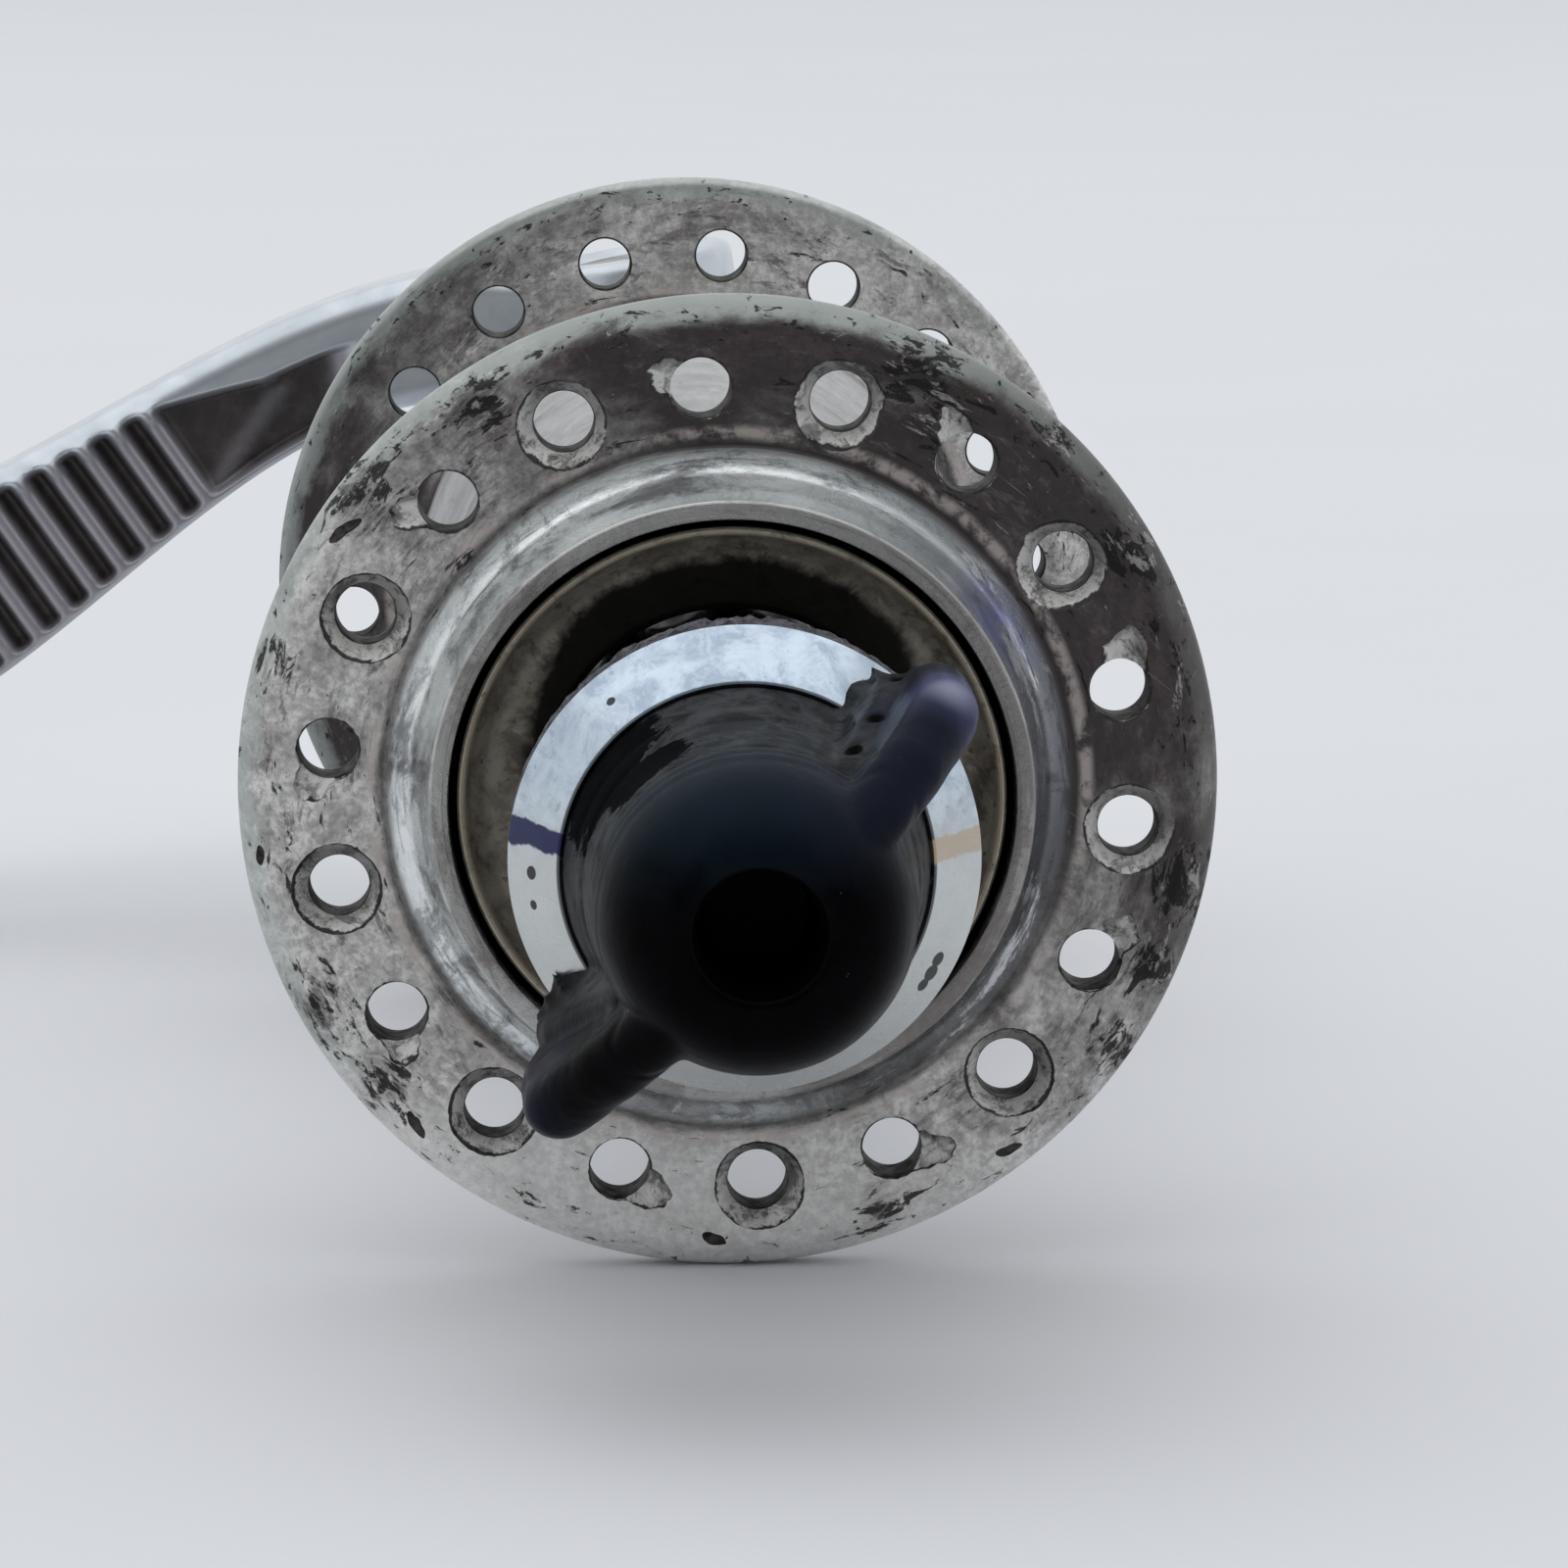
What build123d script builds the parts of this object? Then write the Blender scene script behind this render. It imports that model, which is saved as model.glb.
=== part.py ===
from build123d import *
import math
import os

# Bicycle front hub with its quick-release skewer.
# The origin is the hub's centre on the axle line. +Y runs along the axle to the lever end (left),
# -Y to the adjusting nut (right), and +Z is up. Lengths are in millimetres.

# Wheel: two flanges with spoke holes, of which every second one is countersunk from outside
flange_spacing = 70.0
spoke_circle_dia = 36.0
flange_dia = 44.0
flange_thickness = 3.0
flange_bevel = 0.8
holes_per_flange = 18
hole_sides = 12
spoke_hole_dia = 2.7
spoke_sink_dia = 4.1
plain_hole_angle = 94.0

# Shell: barrel, bearing seats and the collar outside each flange
barrel_dia = 21.0
barrel_bore_dia = 16.0
barrel_straight = 42.0
flare_length = 7.0
seat_shell_dia = 29.0
cup_dia = 24.2
collar_height = 4.1
collar_dia = 27.2
collar_foot_dia = 31.0
collar_foot_height = 1.3

# Bearings: loose balls between a pressed cup and a screwed cone
ball_dia = 4.7625
ball_count = 10
ball_circle_dia = 17.2
ball_inset = 0.5
ball_sides = 8
ball_bands = 4
race_play = 0.05
race_flat_angle = 45.0
cup_floor = 1.2
cup_hole_dia = 14.6
cup_rim_past_balls = 2.0
cap_wall = 0.8
cap_recess = 2.6
cap_lip_below_collar = 0.65
cap_lip_width = 0.6
cap_hole_dia = 16.4
seat_play = 0.01

# Axle and what is screwed on it
locknut_spacing = 100.0
axle_length = 107.0
axle_dia = 9.0
axle_bore_dia = 5.5
axle_end_chamfer = 0.5
thread_play = 0.03
keyway_width = 2.6
keyway_depth = 1.0
keyway_length = 13.0
cone_nose = 1.5
cone_dia = 15.0
cone_flats = 13.0
cone_flats_length = 3.0
washer_thickness = 1.6
washer_dia = 14.8
washer_tab_play = 0.1
locknut_thickness = 4.0
locknut_flats = 15.0
locknut_chamfer = 0.5

# Skewer: the rod, and the adjusting nut with two wings
clamp_gap = 3.6
rod_dia = 5.0
rod_end_chamfer = 0.4
rod_end_inside_nut = 6.0
nut_flange_dia = 20.0
nut_flange_side = 2.2
nut_cone_dia = 16.0
nut_cone_length = 2.6
nut_neck_dia = 15.4
nut_neck_length = 10.2
nut_nose_dia = 13.2
nut_dome_length = 5.6
nut_dome_flats = 3
nut_mouth_dia = 6.0
nut_mouth_chamfer = 0.4
wing_angle = 46.0
wing_span = 26.0
wing_thickness = 3.8
wing_foot_rise = 3.4
wing_head_drop = 4.6
wing_head_over_nose = 1.0
wing_depth_in_nut = 1.6
wing_foot_round = 1.4
wing_head_round = 2.4
wing_shoulder_round = 1.5

# Conical springs in the recesses of the nut and the cam housing
recess_dia = 14.6
recess_depth = 3.4
wire_dia = 0.8
spring_small_radius = 3.4
spring_large_radius = 6.4
spring_sides = 16
spring_end_play = 0.02

# Cam housing, eccentric shaft and lever
lever_drop = 9.5
housing_flange_dia = 19.2
housing_flange_side = 2.4
housing_waist_slope = 1.2
housing_dia = 17.6
housing_bore_dia = 11.4
pin_past_clamp_face = 13.2
housing_past_pin = 9.4
housing_end_wall = 2.6
housing_end_chamfer = 2.2
eccentric_dia = 6.0
throw = 1.1
journal_step = 0.2
running_play = 0.05
eye_play = 0.1
eye_slack_share = 0.21
head_play = 0.1
head_thickness = 7.2
head_wall = 1.4
head_slope = 1.6
spot_face_height = 8.4
spot_face_play = 0.1
shaft_end_dia = 6.4
shaft_end_below_boss = 0.3
shaft_stub_dia = 4.6
shaft_stub_length = 3.0
cap_nut_dia = 10.6
cap_nut_height = 4.0
cap_nut_chamfer = 1.4
cap_nut_floor = 0.9
boss_dia = 12.0
boss_height = 6.9
lever_length = 59.0
lever_start = 4.5
arm_width = 6.4
arm_thickness = 7.2
paddle_width = 12.4
paddle_thickness = 3.8
upper_sweep_start = 12.0
lower_sweep_start = 9.0
tip_height = 1.6
inboard_sweep = 12.3
rim_width = 1.7
hollow_start = 15.0
hollow_depth = 1.5
rib_pitch = 1.95
rib_count = 13
first_rib = 27.7
rib_width = 1.36
rib_flank_angle = 75.0
rib_below_rim = 0.2
rib_root = 0.5

# Places along the axle, counted outwards from the hub's centre
flange_middle = flange_spacing / 2
flange_outer = flange_middle + flange_thickness / 2
flange_inner = flange_middle - flange_thickness / 2
collar_end = flange_outer + collar_height
hole_pitch = 360 / holes_per_flange
ball_radius = ball_dia / 2
ball_circle_radius = ball_circle_dia / 2
ball_plane = flange_middle - ball_inset
race_radius = ball_radius + race_play
cup_seat = ball_plane - race_radius - cup_floor
cup_rim = ball_plane + cup_rim_past_balls
cap_face = collar_end - cap_recess
locknut_face = locknut_spacing / 2
washer_face = locknut_face - locknut_thickness
cone_face = washer_face - washer_thickness
axle_end = axle_length / 2
clamp_face = locknut_face + clamp_gap
recess_floor = clamp_face + recess_depth
thread_radius = axle_dia / 2 + thread_play
rod_thread_radius = rod_dia / 2 + thread_play
pin_place = clamp_face + pin_past_clamp_face
journal_radius = eccentric_dia / 2 + throw + journal_step
half_head = head_thickness / 2

os.makedirs("parts", exist_ok=True)


def turned(corners):
    """A closed face on one side of the axle, from corners given as (radius, place along the axle)."""
    with BuildSketch(Plane.XY) as face:
        with BuildLine():
            Polyline(*corners, close=True)
        make_face()
    return face.sketch


def facing(place):
    """A plane across the axle that looks outwards, with local x along +X."""
    outwards = math.copysign(1, place)
    return Plane(origin=(0, place, 0), x_dir=(1, 0, 0), z_dir=(0, outwards, 0))


def corner_ring(radius, level, sides):
    """The corners of a regular polygon across local Z."""
    turns = [2 * math.pi * number / sides for number in range(sides)]
    return [(radius * math.cos(turn), radius * math.sin(turn), level) for turn in turns]


def race_corner(angle):
    """Where two flats round the balls meet, by its angle about a ball's centre from straight outwards."""
    turn = math.radians(angle)
    reach = race_radius / math.cos(math.radians(race_flat_angle / 2))
    return (ball_circle_radius + reach * math.cos(turn), ball_plane + reach * math.sin(turn))


# Shell
with BuildPart() as hub_shell:
    left_half = [
        (barrel_dia / 2, barrel_straight / 2),
        (seat_shell_dia / 2, barrel_straight / 2 + flare_length),
        (seat_shell_dia / 2, flange_inner),
        (flange_dia / 2, flange_inner),
        (flange_dia / 2, flange_outer - flange_bevel),
        (flange_dia / 2 - flange_bevel, flange_outer),
        (collar_foot_dia / 2, flange_outer),
        (collar_dia / 2, flange_outer + collar_foot_height),
        (collar_dia / 2, collar_end),
        (cup_dia / 2, collar_end),
        (cup_dia / 2, cup_seat),
        (barrel_bore_dia / 2, cup_seat),
    ]
    right_half = [(radius, -place) for radius, place in reversed(left_half)]
    revolve(turned(left_half + right_half), axis=Axis.Y)

    sink_rim = corner_ring(spoke_sink_dia / 2, 0, hole_sides)
    sink_foot = corner_ring(spoke_hole_dia / 2, (spoke_hole_dia - spoke_sink_dia) / 2, hole_sides)
    hole_circle = spoke_circle_dia / 2
    others = holes_per_flange - 1
    rest_of_turn = 360 - 2 * hole_pitch
    for side in (-1, 1):
        # the left flange's holes stand half a pitch from the right one's
        topmost = plain_hole_angle if side < 0 else plain_hole_angle - hole_pitch / 2
        # angles in the flange's own plane run the other way round on the left
        start = -side * topmost
        with BuildSketch(facing(side * flange_outer)):
            # one round hole a flange, and the rest with flats, as there are so many
            with PolarLocations(hole_circle, 1, start):
                Circle(spoke_hole_dia / 2)
            with PolarLocations(hole_circle, others, start + hole_pitch, rest_of_turn, endpoint=True):
                RegularPolygon(spoke_hole_dia / 2, hole_sides)
        extrude(amount=-flange_thickness, mode=Mode.SUBTRACT)
        with Locations(facing(side * flange_outer)):
            with PolarLocations(hole_circle, holes_per_flange // 2, start + hole_pitch):
                ConvexPolyhedron(sink_rim + sink_foot, mode=Mode.SUBTRACT)

# Bearing cups
with BuildPart() as bearing_cup_left:
    cup_radius = cup_dia / 2 - seat_play
    corners = [
        (cup_radius, cup_seat),
        (cup_radius, cup_rim),
        (ball_circle_radius + race_radius, cup_rim),
        race_corner(-race_flat_angle / 2),
        race_corner(-race_flat_angle * 3 / 2),
        (cup_hole_dia / 2, ball_plane - race_radius),
        (cup_hole_dia / 2, cup_seat),
    ]
    revolve(turned(corners), axis=Axis.Y)

with BuildPart() as bearing_cup_right:
    mirror(bearing_cup_left.part, about=Plane.XZ)

# Dust caps: thin pressed dishes over the balls
with BuildPart() as dust_cap_left:
    lip = collar_end - cap_lip_below_collar
    cap_radius = cup_dia / 2 - seat_play
    corners = [
        (cap_radius, cap_face - cap_wall),
        (cap_radius, lip),
        (cap_radius - cap_lip_width, lip),
        (cap_radius - cap_lip_width, cap_face),
        (cap_hole_dia / 2, cap_face),
        (cap_hole_dia / 2, cap_face - cap_wall),
    ]
    revolve(turned(corners), axis=Axis.Y)

with BuildPart() as dust_cap_right:
    mirror(dust_cap_left.part, about=Plane.XZ)

# Balls: each is cut from flat facets whose corners lie on the true sphere
with BuildPart() as bearing_balls_left:
    ball_corners = [(0, 0, -ball_radius), (0, 0, ball_radius)]
    for band in range(1, ball_bands):
        rise = math.pi * (band / ball_bands - 0.5)
        ball_corners += corner_ring(ball_radius * math.cos(rise), ball_radius * math.sin(rise), ball_sides)
    with Locations(facing(ball_plane)):
        with PolarLocations(ball_circle_radius, ball_count):
            ConvexPolyhedron(ball_corners)

with BuildPart() as bearing_balls_right:
    mirror(bearing_balls_left.part, about=Plane.XZ)

# Cones
with BuildPart() as cone_left:
    neck = ball_circle_radius - race_radius
    neck_end = race_corner(180 - race_flat_angle / 2)[1]
    corners = [
        (thread_radius, ball_plane - cone_nose),
        (neck, ball_plane - cone_nose),
        (neck, neck_end),
        (cone_dia / 2, neck_end + cone_dia / 2 - neck),
        (cone_dia / 2, cone_face),
        (thread_radius, cone_face),
    ]
    revolve(turned(corners), axis=Axis.Y)
    with BuildSketch(facing(cone_face)):
        Rectangle(2 * cone_dia, 2 * cone_dia)
        Rectangle(2 * cone_dia, cone_flats, mode=Mode.SUBTRACT)
    extrude(amount=-cone_flats_length, mode=Mode.SUBTRACT)

with BuildPart() as cone_right:
    mirror(cone_left.part, about=Plane.XZ)

# Keyed lock washers
with BuildPart() as lock_washer_left:
    tab_width = keyway_width - 2 * washer_tab_play
    tab_start = axle_dia / 2 - keyway_depth + washer_tab_play
    tab_end = axle_dia / 2 + keyway_depth / 2
    with BuildSketch(facing(cone_face)):
        Circle(washer_dia / 2)
        Circle(thread_radius, mode=Mode.SUBTRACT)
        with Locations((0, -(tab_start + tab_end) / 2)):
            Rectangle(tab_width, tab_end - tab_start)
    extrude(amount=washer_thickness)

with BuildPart() as lock_washer_right:
    mirror(lock_washer_left.part, about=Plane.XZ)

# Locknuts: their outer faces seat the fork
with BuildPart() as locknut_left:
    with BuildSketch(facing(washer_face)):
        RegularPolygon(locknut_flats / 2, 6, major_radius=False)
        Circle(thread_radius, mode=Mode.SUBTRACT)
    extrude(amount=locknut_thickness)
    corner = locknut_flats / math.sqrt(3)
    inside_chamfer = [
        (0, washer_face),
        (corner, washer_face),
        (corner, locknut_face - locknut_chamfer / 2),
        (corner - locknut_chamfer, locknut_face),
        (0, locknut_face),
    ]
    revolve(turned(inside_chamfer), axis=Axis.Y, mode=Mode.INTERSECT)

with BuildPart() as locknut_right:
    mirror(locknut_left.part, about=Plane.XZ)

# Hollow axle with a keyway at each end
with BuildPart() as axle:
    corners = [
        (axle_bore_dia / 2, -axle_end),
        (axle_dia / 2 - axle_end_chamfer, -axle_end),
        (axle_dia / 2, -axle_end + axle_end_chamfer),
        (axle_dia / 2, axle_end - axle_end_chamfer),
        (axle_dia / 2 - axle_end_chamfer, axle_end),
        (axle_bore_dia / 2, axle_end),
    ]
    revolve(turned(corners), axis=Axis.Y)
    for side in (-1, 1):
        with BuildSketch(facing(side * axle_end)):
            with Locations((0, -side * axle_dia / 2)):
                Rectangle(keyway_width, 2 * keyway_depth)
        extrude(amount=-keyway_length, mode=Mode.SUBTRACT)

# The lever, its shaft and the cam housing stand in a frame that hangs lever_drop below level
closed = Plane.XY.rotated((0, -lever_drop, 0))


def across_shaft(height):
    """A plane across the cam shaft, with local x away from the lever and local y along +Y."""
    middle = closed.from_local_coords(Vector(0, pin_place, height))
    return Plane(origin=middle, x_dir=closed.x_dir, z_dir=closed.z_dir)


# Rod with a flat-sided head, whose slotted eye holds the eccentric
with BuildPart() as skewer_rod:
    nut_length = nut_flange_side + nut_cone_length + nut_neck_length + nut_dome_length
    rod_end = clamp_face + nut_length - rod_end_inside_nut
    head_radius = housing_bore_dia / 2 - head_play
    # the eccentric's own pull isn't quite in step with the lever's angle, so the eye has slack for it
    eye_length = eccentric_dia + 2 * (throw * eye_slack_share + eye_play)
    eye_width = eccentric_dia + 2 * (throw + eye_play)
    head_start = pin_place + throw - eye_length / 2 - head_wall
    head_end = pin_place + throw + eye_length / 2 + head_wall
    corners = [
        (0, -rod_end),
        (rod_dia / 2 - rod_end_chamfer, -rod_end),
        (rod_dia / 2, -rod_end + rod_end_chamfer),
        (rod_dia / 2, head_start - head_slope),
        (head_radius, head_start),
        (head_radius, head_end),
        (0, head_end),
    ]
    revolve(turned(corners), axis=Axis.Y)
    for direction in (-1, 1):
        with BuildSketch(across_shaft(direction * half_head)):
            with Locations((0, throw)):
                Rectangle(2 * housing_bore_dia, 2 * housing_bore_dia)
        extrude(amount=direction * housing_bore_dia, mode=Mode.SUBTRACT)
    with BuildSketch(across_shaft(0)):
        with Locations((0, throw)):
            RectangleRounded(eye_width, eye_length, eccentric_dia / 2)
    extrude(amount=half_head, both=True, mode=Mode.SUBTRACT)

# Adjusting nut
with BuildPart() as adjusting_nut:
    cone_start = clamp_face + nut_flange_side
    cone_end = cone_start + nut_cone_length
    dome_start = cone_end + nut_neck_length
    nose_end = dome_start + nut_dome_length
    nose_radius = nut_nose_dia / 2
    mouth_radius = nut_mouth_dia / 2
    dome = []
    for number in range(nut_dome_flats + 1):
        rise = math.pi / 2 * number / nut_dome_flats
        radius = mouth_radius + (nose_radius - mouth_radius) * math.cos(rise)
        dome.append((radius, -dome_start - nut_dome_length * math.sin(rise)))
    corners = [
        (rod_thread_radius, -nose_end + nut_mouth_chamfer),
        (rod_thread_radius, -recess_floor),
        (recess_dia / 2, -recess_floor),
        (recess_dia / 2, -clamp_face),
        (nut_flange_dia / 2, -clamp_face),
        (nut_flange_dia / 2, -cone_start),
        (nut_cone_dia / 2, -cone_end),
        (nut_neck_dia / 2, -cone_end),
    ]
    revolve(turned(dome + corners), axis=Axis.Y)
    for turn in (wing_angle, wing_angle + 180):
        outwards = Vector(1, 0, 0).rotate(Axis.Y, -turn)
        wing_plane = Plane(origin=(0, 0, 0), x_dir=outwards, z_dir=outwards.cross(Vector(0, -1, 0)))
        with BuildSketch(wing_plane):
            with BuildLine():
                FilletPolyline(
                    (nose_radius - wing_depth_in_nut, cone_end),
                    (nut_flange_dia / 2, cone_start),
                    (wing_span / 2, cone_start + wing_foot_rise),
                    (wing_span / 2, dome_start - wing_head_drop),
                    (nose_radius + wing_head_over_nose, dome_start),
                    (nose_radius - wing_depth_in_nut, dome_start),
                    radius=[0, 0, wing_foot_round, wing_head_round, wing_shoulder_round, 0],
                    close=True,
                )
            make_face()
        extrude(amount=wing_thickness / 2, both=True)

# Conical springs, each a plain sleeve as thick as its wire
with BuildPart() as spring_left:
    near = axle_end + spring_end_play
    far = recess_floor - spring_end_play
    half_wire = wire_dia / 2
    for grow, mode in ((half_wire, Mode.ADD), (-half_wire, Mode.SUBTRACT)):
        near_ring = corner_ring(spring_small_radius + grow, near, spring_sides)
        far_ring = corner_ring(spring_large_radius + grow, far, spring_sides)
        with Locations(facing(0)):
            ConvexPolyhedron(near_ring + far_ring, mode=mode)

with BuildPart() as spring_right:
    mirror(spring_left.part, about=Plane.XZ)

# Cam housing
with BuildPart() as cam_housing:
    waist = clamp_face + housing_flange_side
    housing_end = pin_place + housing_past_pin
    corners = [
        (recess_dia / 2, clamp_face),
        (housing_flange_dia / 2, clamp_face),
        (housing_flange_dia / 2, waist),
        (housing_dia / 2, waist + housing_waist_slope),
        (housing_dia / 2, housing_end - housing_end_chamfer),
        (housing_dia / 2 - housing_end_chamfer, housing_end),
        (0, housing_end),
        (0, housing_end - housing_end_wall),
        (housing_bore_dia / 2, housing_end - housing_end_wall),
        (housing_bore_dia / 2, recess_floor),
        (recess_dia / 2, recess_floor),
    ]
    revolve(turned(corners), axis=Axis.Y)
    with BuildSketch(across_shaft(0)):
        Circle(journal_radius + running_play)
    extrude(amount=housing_dia, both=True, mode=Mode.SUBTRACT)
    for direction in (-1, 1):
        with BuildSketch(across_shaft(direction * spot_face_height)):
            Circle(boss_dia / 2 + spot_face_play)
        extrude(amount=direction * housing_dia, mode=Mode.SUBTRACT)

# Eccentric cam shaft
boss_foot = spot_face_height + spot_face_play
with BuildPart() as cam_shaft:
    for direction in (-1, 1):
        with BuildSketch(across_shaft(direction * (half_head + running_play))):
            Circle(journal_radius)
        extrude(amount=direction * (boss_foot - half_head - running_play))
    with BuildSketch(across_shaft(0)):
        with Locations((0, throw)):
            Circle(eccentric_dia / 2)
    extrude(amount=half_head + running_play, both=True)
    with BuildSketch(across_shaft(boss_foot)):
        Circle(shaft_end_dia / 2)
    extrude(amount=boss_height - shaft_end_below_boss)
    with BuildSketch(across_shaft(-boss_foot)):
        Circle(shaft_stub_dia / 2)
    extrude(amount=-shaft_stub_length)

# Domed nut that keeps the shaft in the housing
with BuildPart() as cam_cap_nut:
    with BuildSketch(across_shaft(-boss_foot)):
        Circle(cap_nut_dia / 2)
    extrude(amount=-cap_nut_height)
    chamfer(cam_cap_nut.faces().sort_by(Axis((0, 0, 0), closed.z_dir))[0].edges(), cap_nut_chamfer)
    with BuildSketch(across_shaft(-boss_foot)):
        Circle(shaft_stub_dia / 2 + thread_play)
    extrude(amount=-(cap_nut_height - cap_nut_floor), mode=Mode.SUBTRACT)

# Lever, cut from two views: one along the axle and one along the shaft
along_axle = Plane(origin=(0, pin_place, 0), x_dir=-closed.x_dir, z_dir=(0, 1, 0))
along_shaft = Plane(origin=(0, pin_place, 0), x_dir=-closed.x_dir, z_dir=-closed.z_dir)
arm_bottom = housing_dia / 2 + 2 * spot_face_play
tip_centre = lever_length - paddle_width / 2
sweep_run = lever_length - lower_sweep_start
sweep_radius = (sweep_run**2 + inboard_sweep**2) / (2 * inboard_sweep)


def s_curve(start, end):
    """Two equal arcs that leave start and reach end along local x."""
    middle = ((start[0] + end[0]) / 2, (start[1] + end[1]) / 2)
    TangentArc(start, middle, tangent=(1, 0))
    TangentArc(end, middle, tangent=(-1, 0))


def lever_outline(inset):
    """The lever as seen along the axle, made smaller all round by the inset."""
    top = arm_bottom + arm_width
    tip_top = tip_height + paddle_width / 2
    tip_bottom = tip_height - paddle_width / 2
    with BuildSketch(along_axle) as face:
        with BuildLine():
            Polyline(
                (lower_sweep_start, arm_bottom),
                (lever_start, arm_bottom),
                (lever_start, top),
                (upper_sweep_start, top),
            )
            s_curve((upper_sweep_start, top), (tip_centre, tip_top))
            s_curve((lower_sweep_start, arm_bottom), (tip_centre, tip_bottom))
            ThreePointArc((tip_centre, tip_top), (lever_length, tip_height), (tip_centre, tip_bottom))
        make_face()
        if inset > 0:
            offset(amount=-inset)
    return face.sketch


def inboard_place(along):
    """Place of the lever's inboard face, from the shaft."""
    run = along - lower_sweep_start
    return -arm_thickness / 2 - sweep_radius + math.sqrt(sweep_radius**2 - run**2)


with BuildPart() as hollow:
    extrude(lever_outline(rim_width), amount=lever_length, both=True)
    with BuildSketch(along_shaft):
        with BuildLine():
            runs = (hollow_start, (hollow_start + lever_length) / 2, lever_length)
            floor = [(along, inboard_place(along) + hollow_depth) for along in runs]
            ThreePointArc(*floor)
            Polyline(floor[-1], (lever_length, -lever_length), (hollow_start, -lever_length), floor[0])
        make_face()
    extrude(amount=lever_length, both=True, mode=Mode.INTERSECT)

with BuildPart() as ribs:
    rib_height = hollow_depth - rib_below_rim + rib_root
    extrude(lever_outline(rim_width - rib_root), amount=lever_length, both=True)
    with BuildSketch(along_shaft):
        for number in range(rib_count):
            along = first_rib + rib_pitch * number
            slope = math.degrees(math.asin((along - lower_sweep_start) / sweep_radius))
            with Locations((along, inboard_place(along) + rib_below_rim + rib_height / 2)):
                Trapezoid(rib_width, rib_height, rib_flank_angle, rotation=180 - slope)
    extrude(amount=lever_length, both=True, mode=Mode.INTERSECT)

with BuildPart() as lever:
    extrude(lever_outline(0), amount=lever_length, both=True)
    outboard = arm_thickness / 2
    inboard_tip = inboard_place(lever_length)
    outboard_tip = inboard_tip + paddle_thickness
    with BuildSketch(along_shaft):
        with BuildLine():
            Polyline(
                (lower_sweep_start, -outboard),
                (0, -outboard),
                (0, outboard),
                (lower_sweep_start, outboard),
            )
            TangentArc((lower_sweep_start, outboard), (lever_length, outboard_tip), tangent=(1, 0))
            Line((lever_length, outboard_tip), (lever_length, inboard_tip))
            TangentArc((lower_sweep_start, -outboard), (lever_length, inboard_tip), tangent=(1, 0))
        make_face()
    extrude(amount=lever_length, both=True, mode=Mode.INTERSECT)
    with BuildSketch(across_shaft(boss_foot)):
        Circle(boss_dia / 2)
    extrude(amount=boss_height)
    with BuildSketch(across_shaft(boss_foot)):
        Circle(shaft_end_dia / 2 + seat_play)
    extrude(amount=boss_height, mode=Mode.SUBTRACT)
    add(hollow.part, mode=Mode.SUBTRACT)
    add(ribs.part)

pieces = {
    "hub_shell": hub_shell,
    "bearing_cup_left": bearing_cup_left,
    "bearing_cup_right": bearing_cup_right,
    "dust_cap_left": dust_cap_left,
    "dust_cap_right": dust_cap_right,
    "bearing_balls_left": bearing_balls_left,
    "bearing_balls_right": bearing_balls_right,
    "cone_left": cone_left,
    "cone_right": cone_right,
    "lock_washer_left": lock_washer_left,
    "lock_washer_right": lock_washer_right,
    "locknut_left": locknut_left,
    "locknut_right": locknut_right,
    "axle": axle,
    "skewer_rod": skewer_rod,
    "adjusting_nut": adjusting_nut,
    "spring_left": spring_left,
    "spring_right": spring_right,
    "cam_housing": cam_housing,
    "cam_shaft": cam_shaft,
    "cam_cap_nut": cam_cap_nut,
    "lever": lever,
}
for name, piece in pieces.items():
    piece.part.label = name
    export_step(piece.part, f"parts/{name}.step")
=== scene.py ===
import math
import random
from functools import reduce

import bmesh
import bpy
import numpy as np
from mathutils import Matrix, Vector, noise


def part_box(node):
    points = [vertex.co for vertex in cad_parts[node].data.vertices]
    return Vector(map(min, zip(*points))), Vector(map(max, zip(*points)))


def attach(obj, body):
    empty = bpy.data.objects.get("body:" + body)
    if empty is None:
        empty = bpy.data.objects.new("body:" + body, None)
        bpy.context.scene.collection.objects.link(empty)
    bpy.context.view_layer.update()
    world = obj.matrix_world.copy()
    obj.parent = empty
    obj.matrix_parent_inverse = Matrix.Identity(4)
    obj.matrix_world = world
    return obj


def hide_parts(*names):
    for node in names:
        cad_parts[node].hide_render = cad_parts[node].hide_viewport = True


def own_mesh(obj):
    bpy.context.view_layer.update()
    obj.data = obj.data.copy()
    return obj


# Looks of a bicycle front hub with its quick-release skewer.
# Lengths are in millimetres unless a name says otherwise, and MM turns them into the frame's metres.
# Y runs along the axle; "place" is a distance along it from the hub's centre, and +Z is up.
MM = 0.001

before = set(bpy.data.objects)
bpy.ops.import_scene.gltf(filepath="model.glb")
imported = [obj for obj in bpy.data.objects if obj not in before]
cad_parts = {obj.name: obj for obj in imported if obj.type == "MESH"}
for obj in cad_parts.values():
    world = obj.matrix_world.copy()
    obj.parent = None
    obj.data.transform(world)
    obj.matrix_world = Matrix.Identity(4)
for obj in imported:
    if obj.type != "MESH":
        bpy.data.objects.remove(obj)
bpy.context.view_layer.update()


def reach(node, axis):
    """The highest place of a CAD node along an axis of the frame."""
    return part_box(node)[1][axis] / MM


def depth(node, axis):
    """The lowest place of a CAD node along an axis of the frame."""
    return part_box(node)[0][axis] / MM


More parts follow.
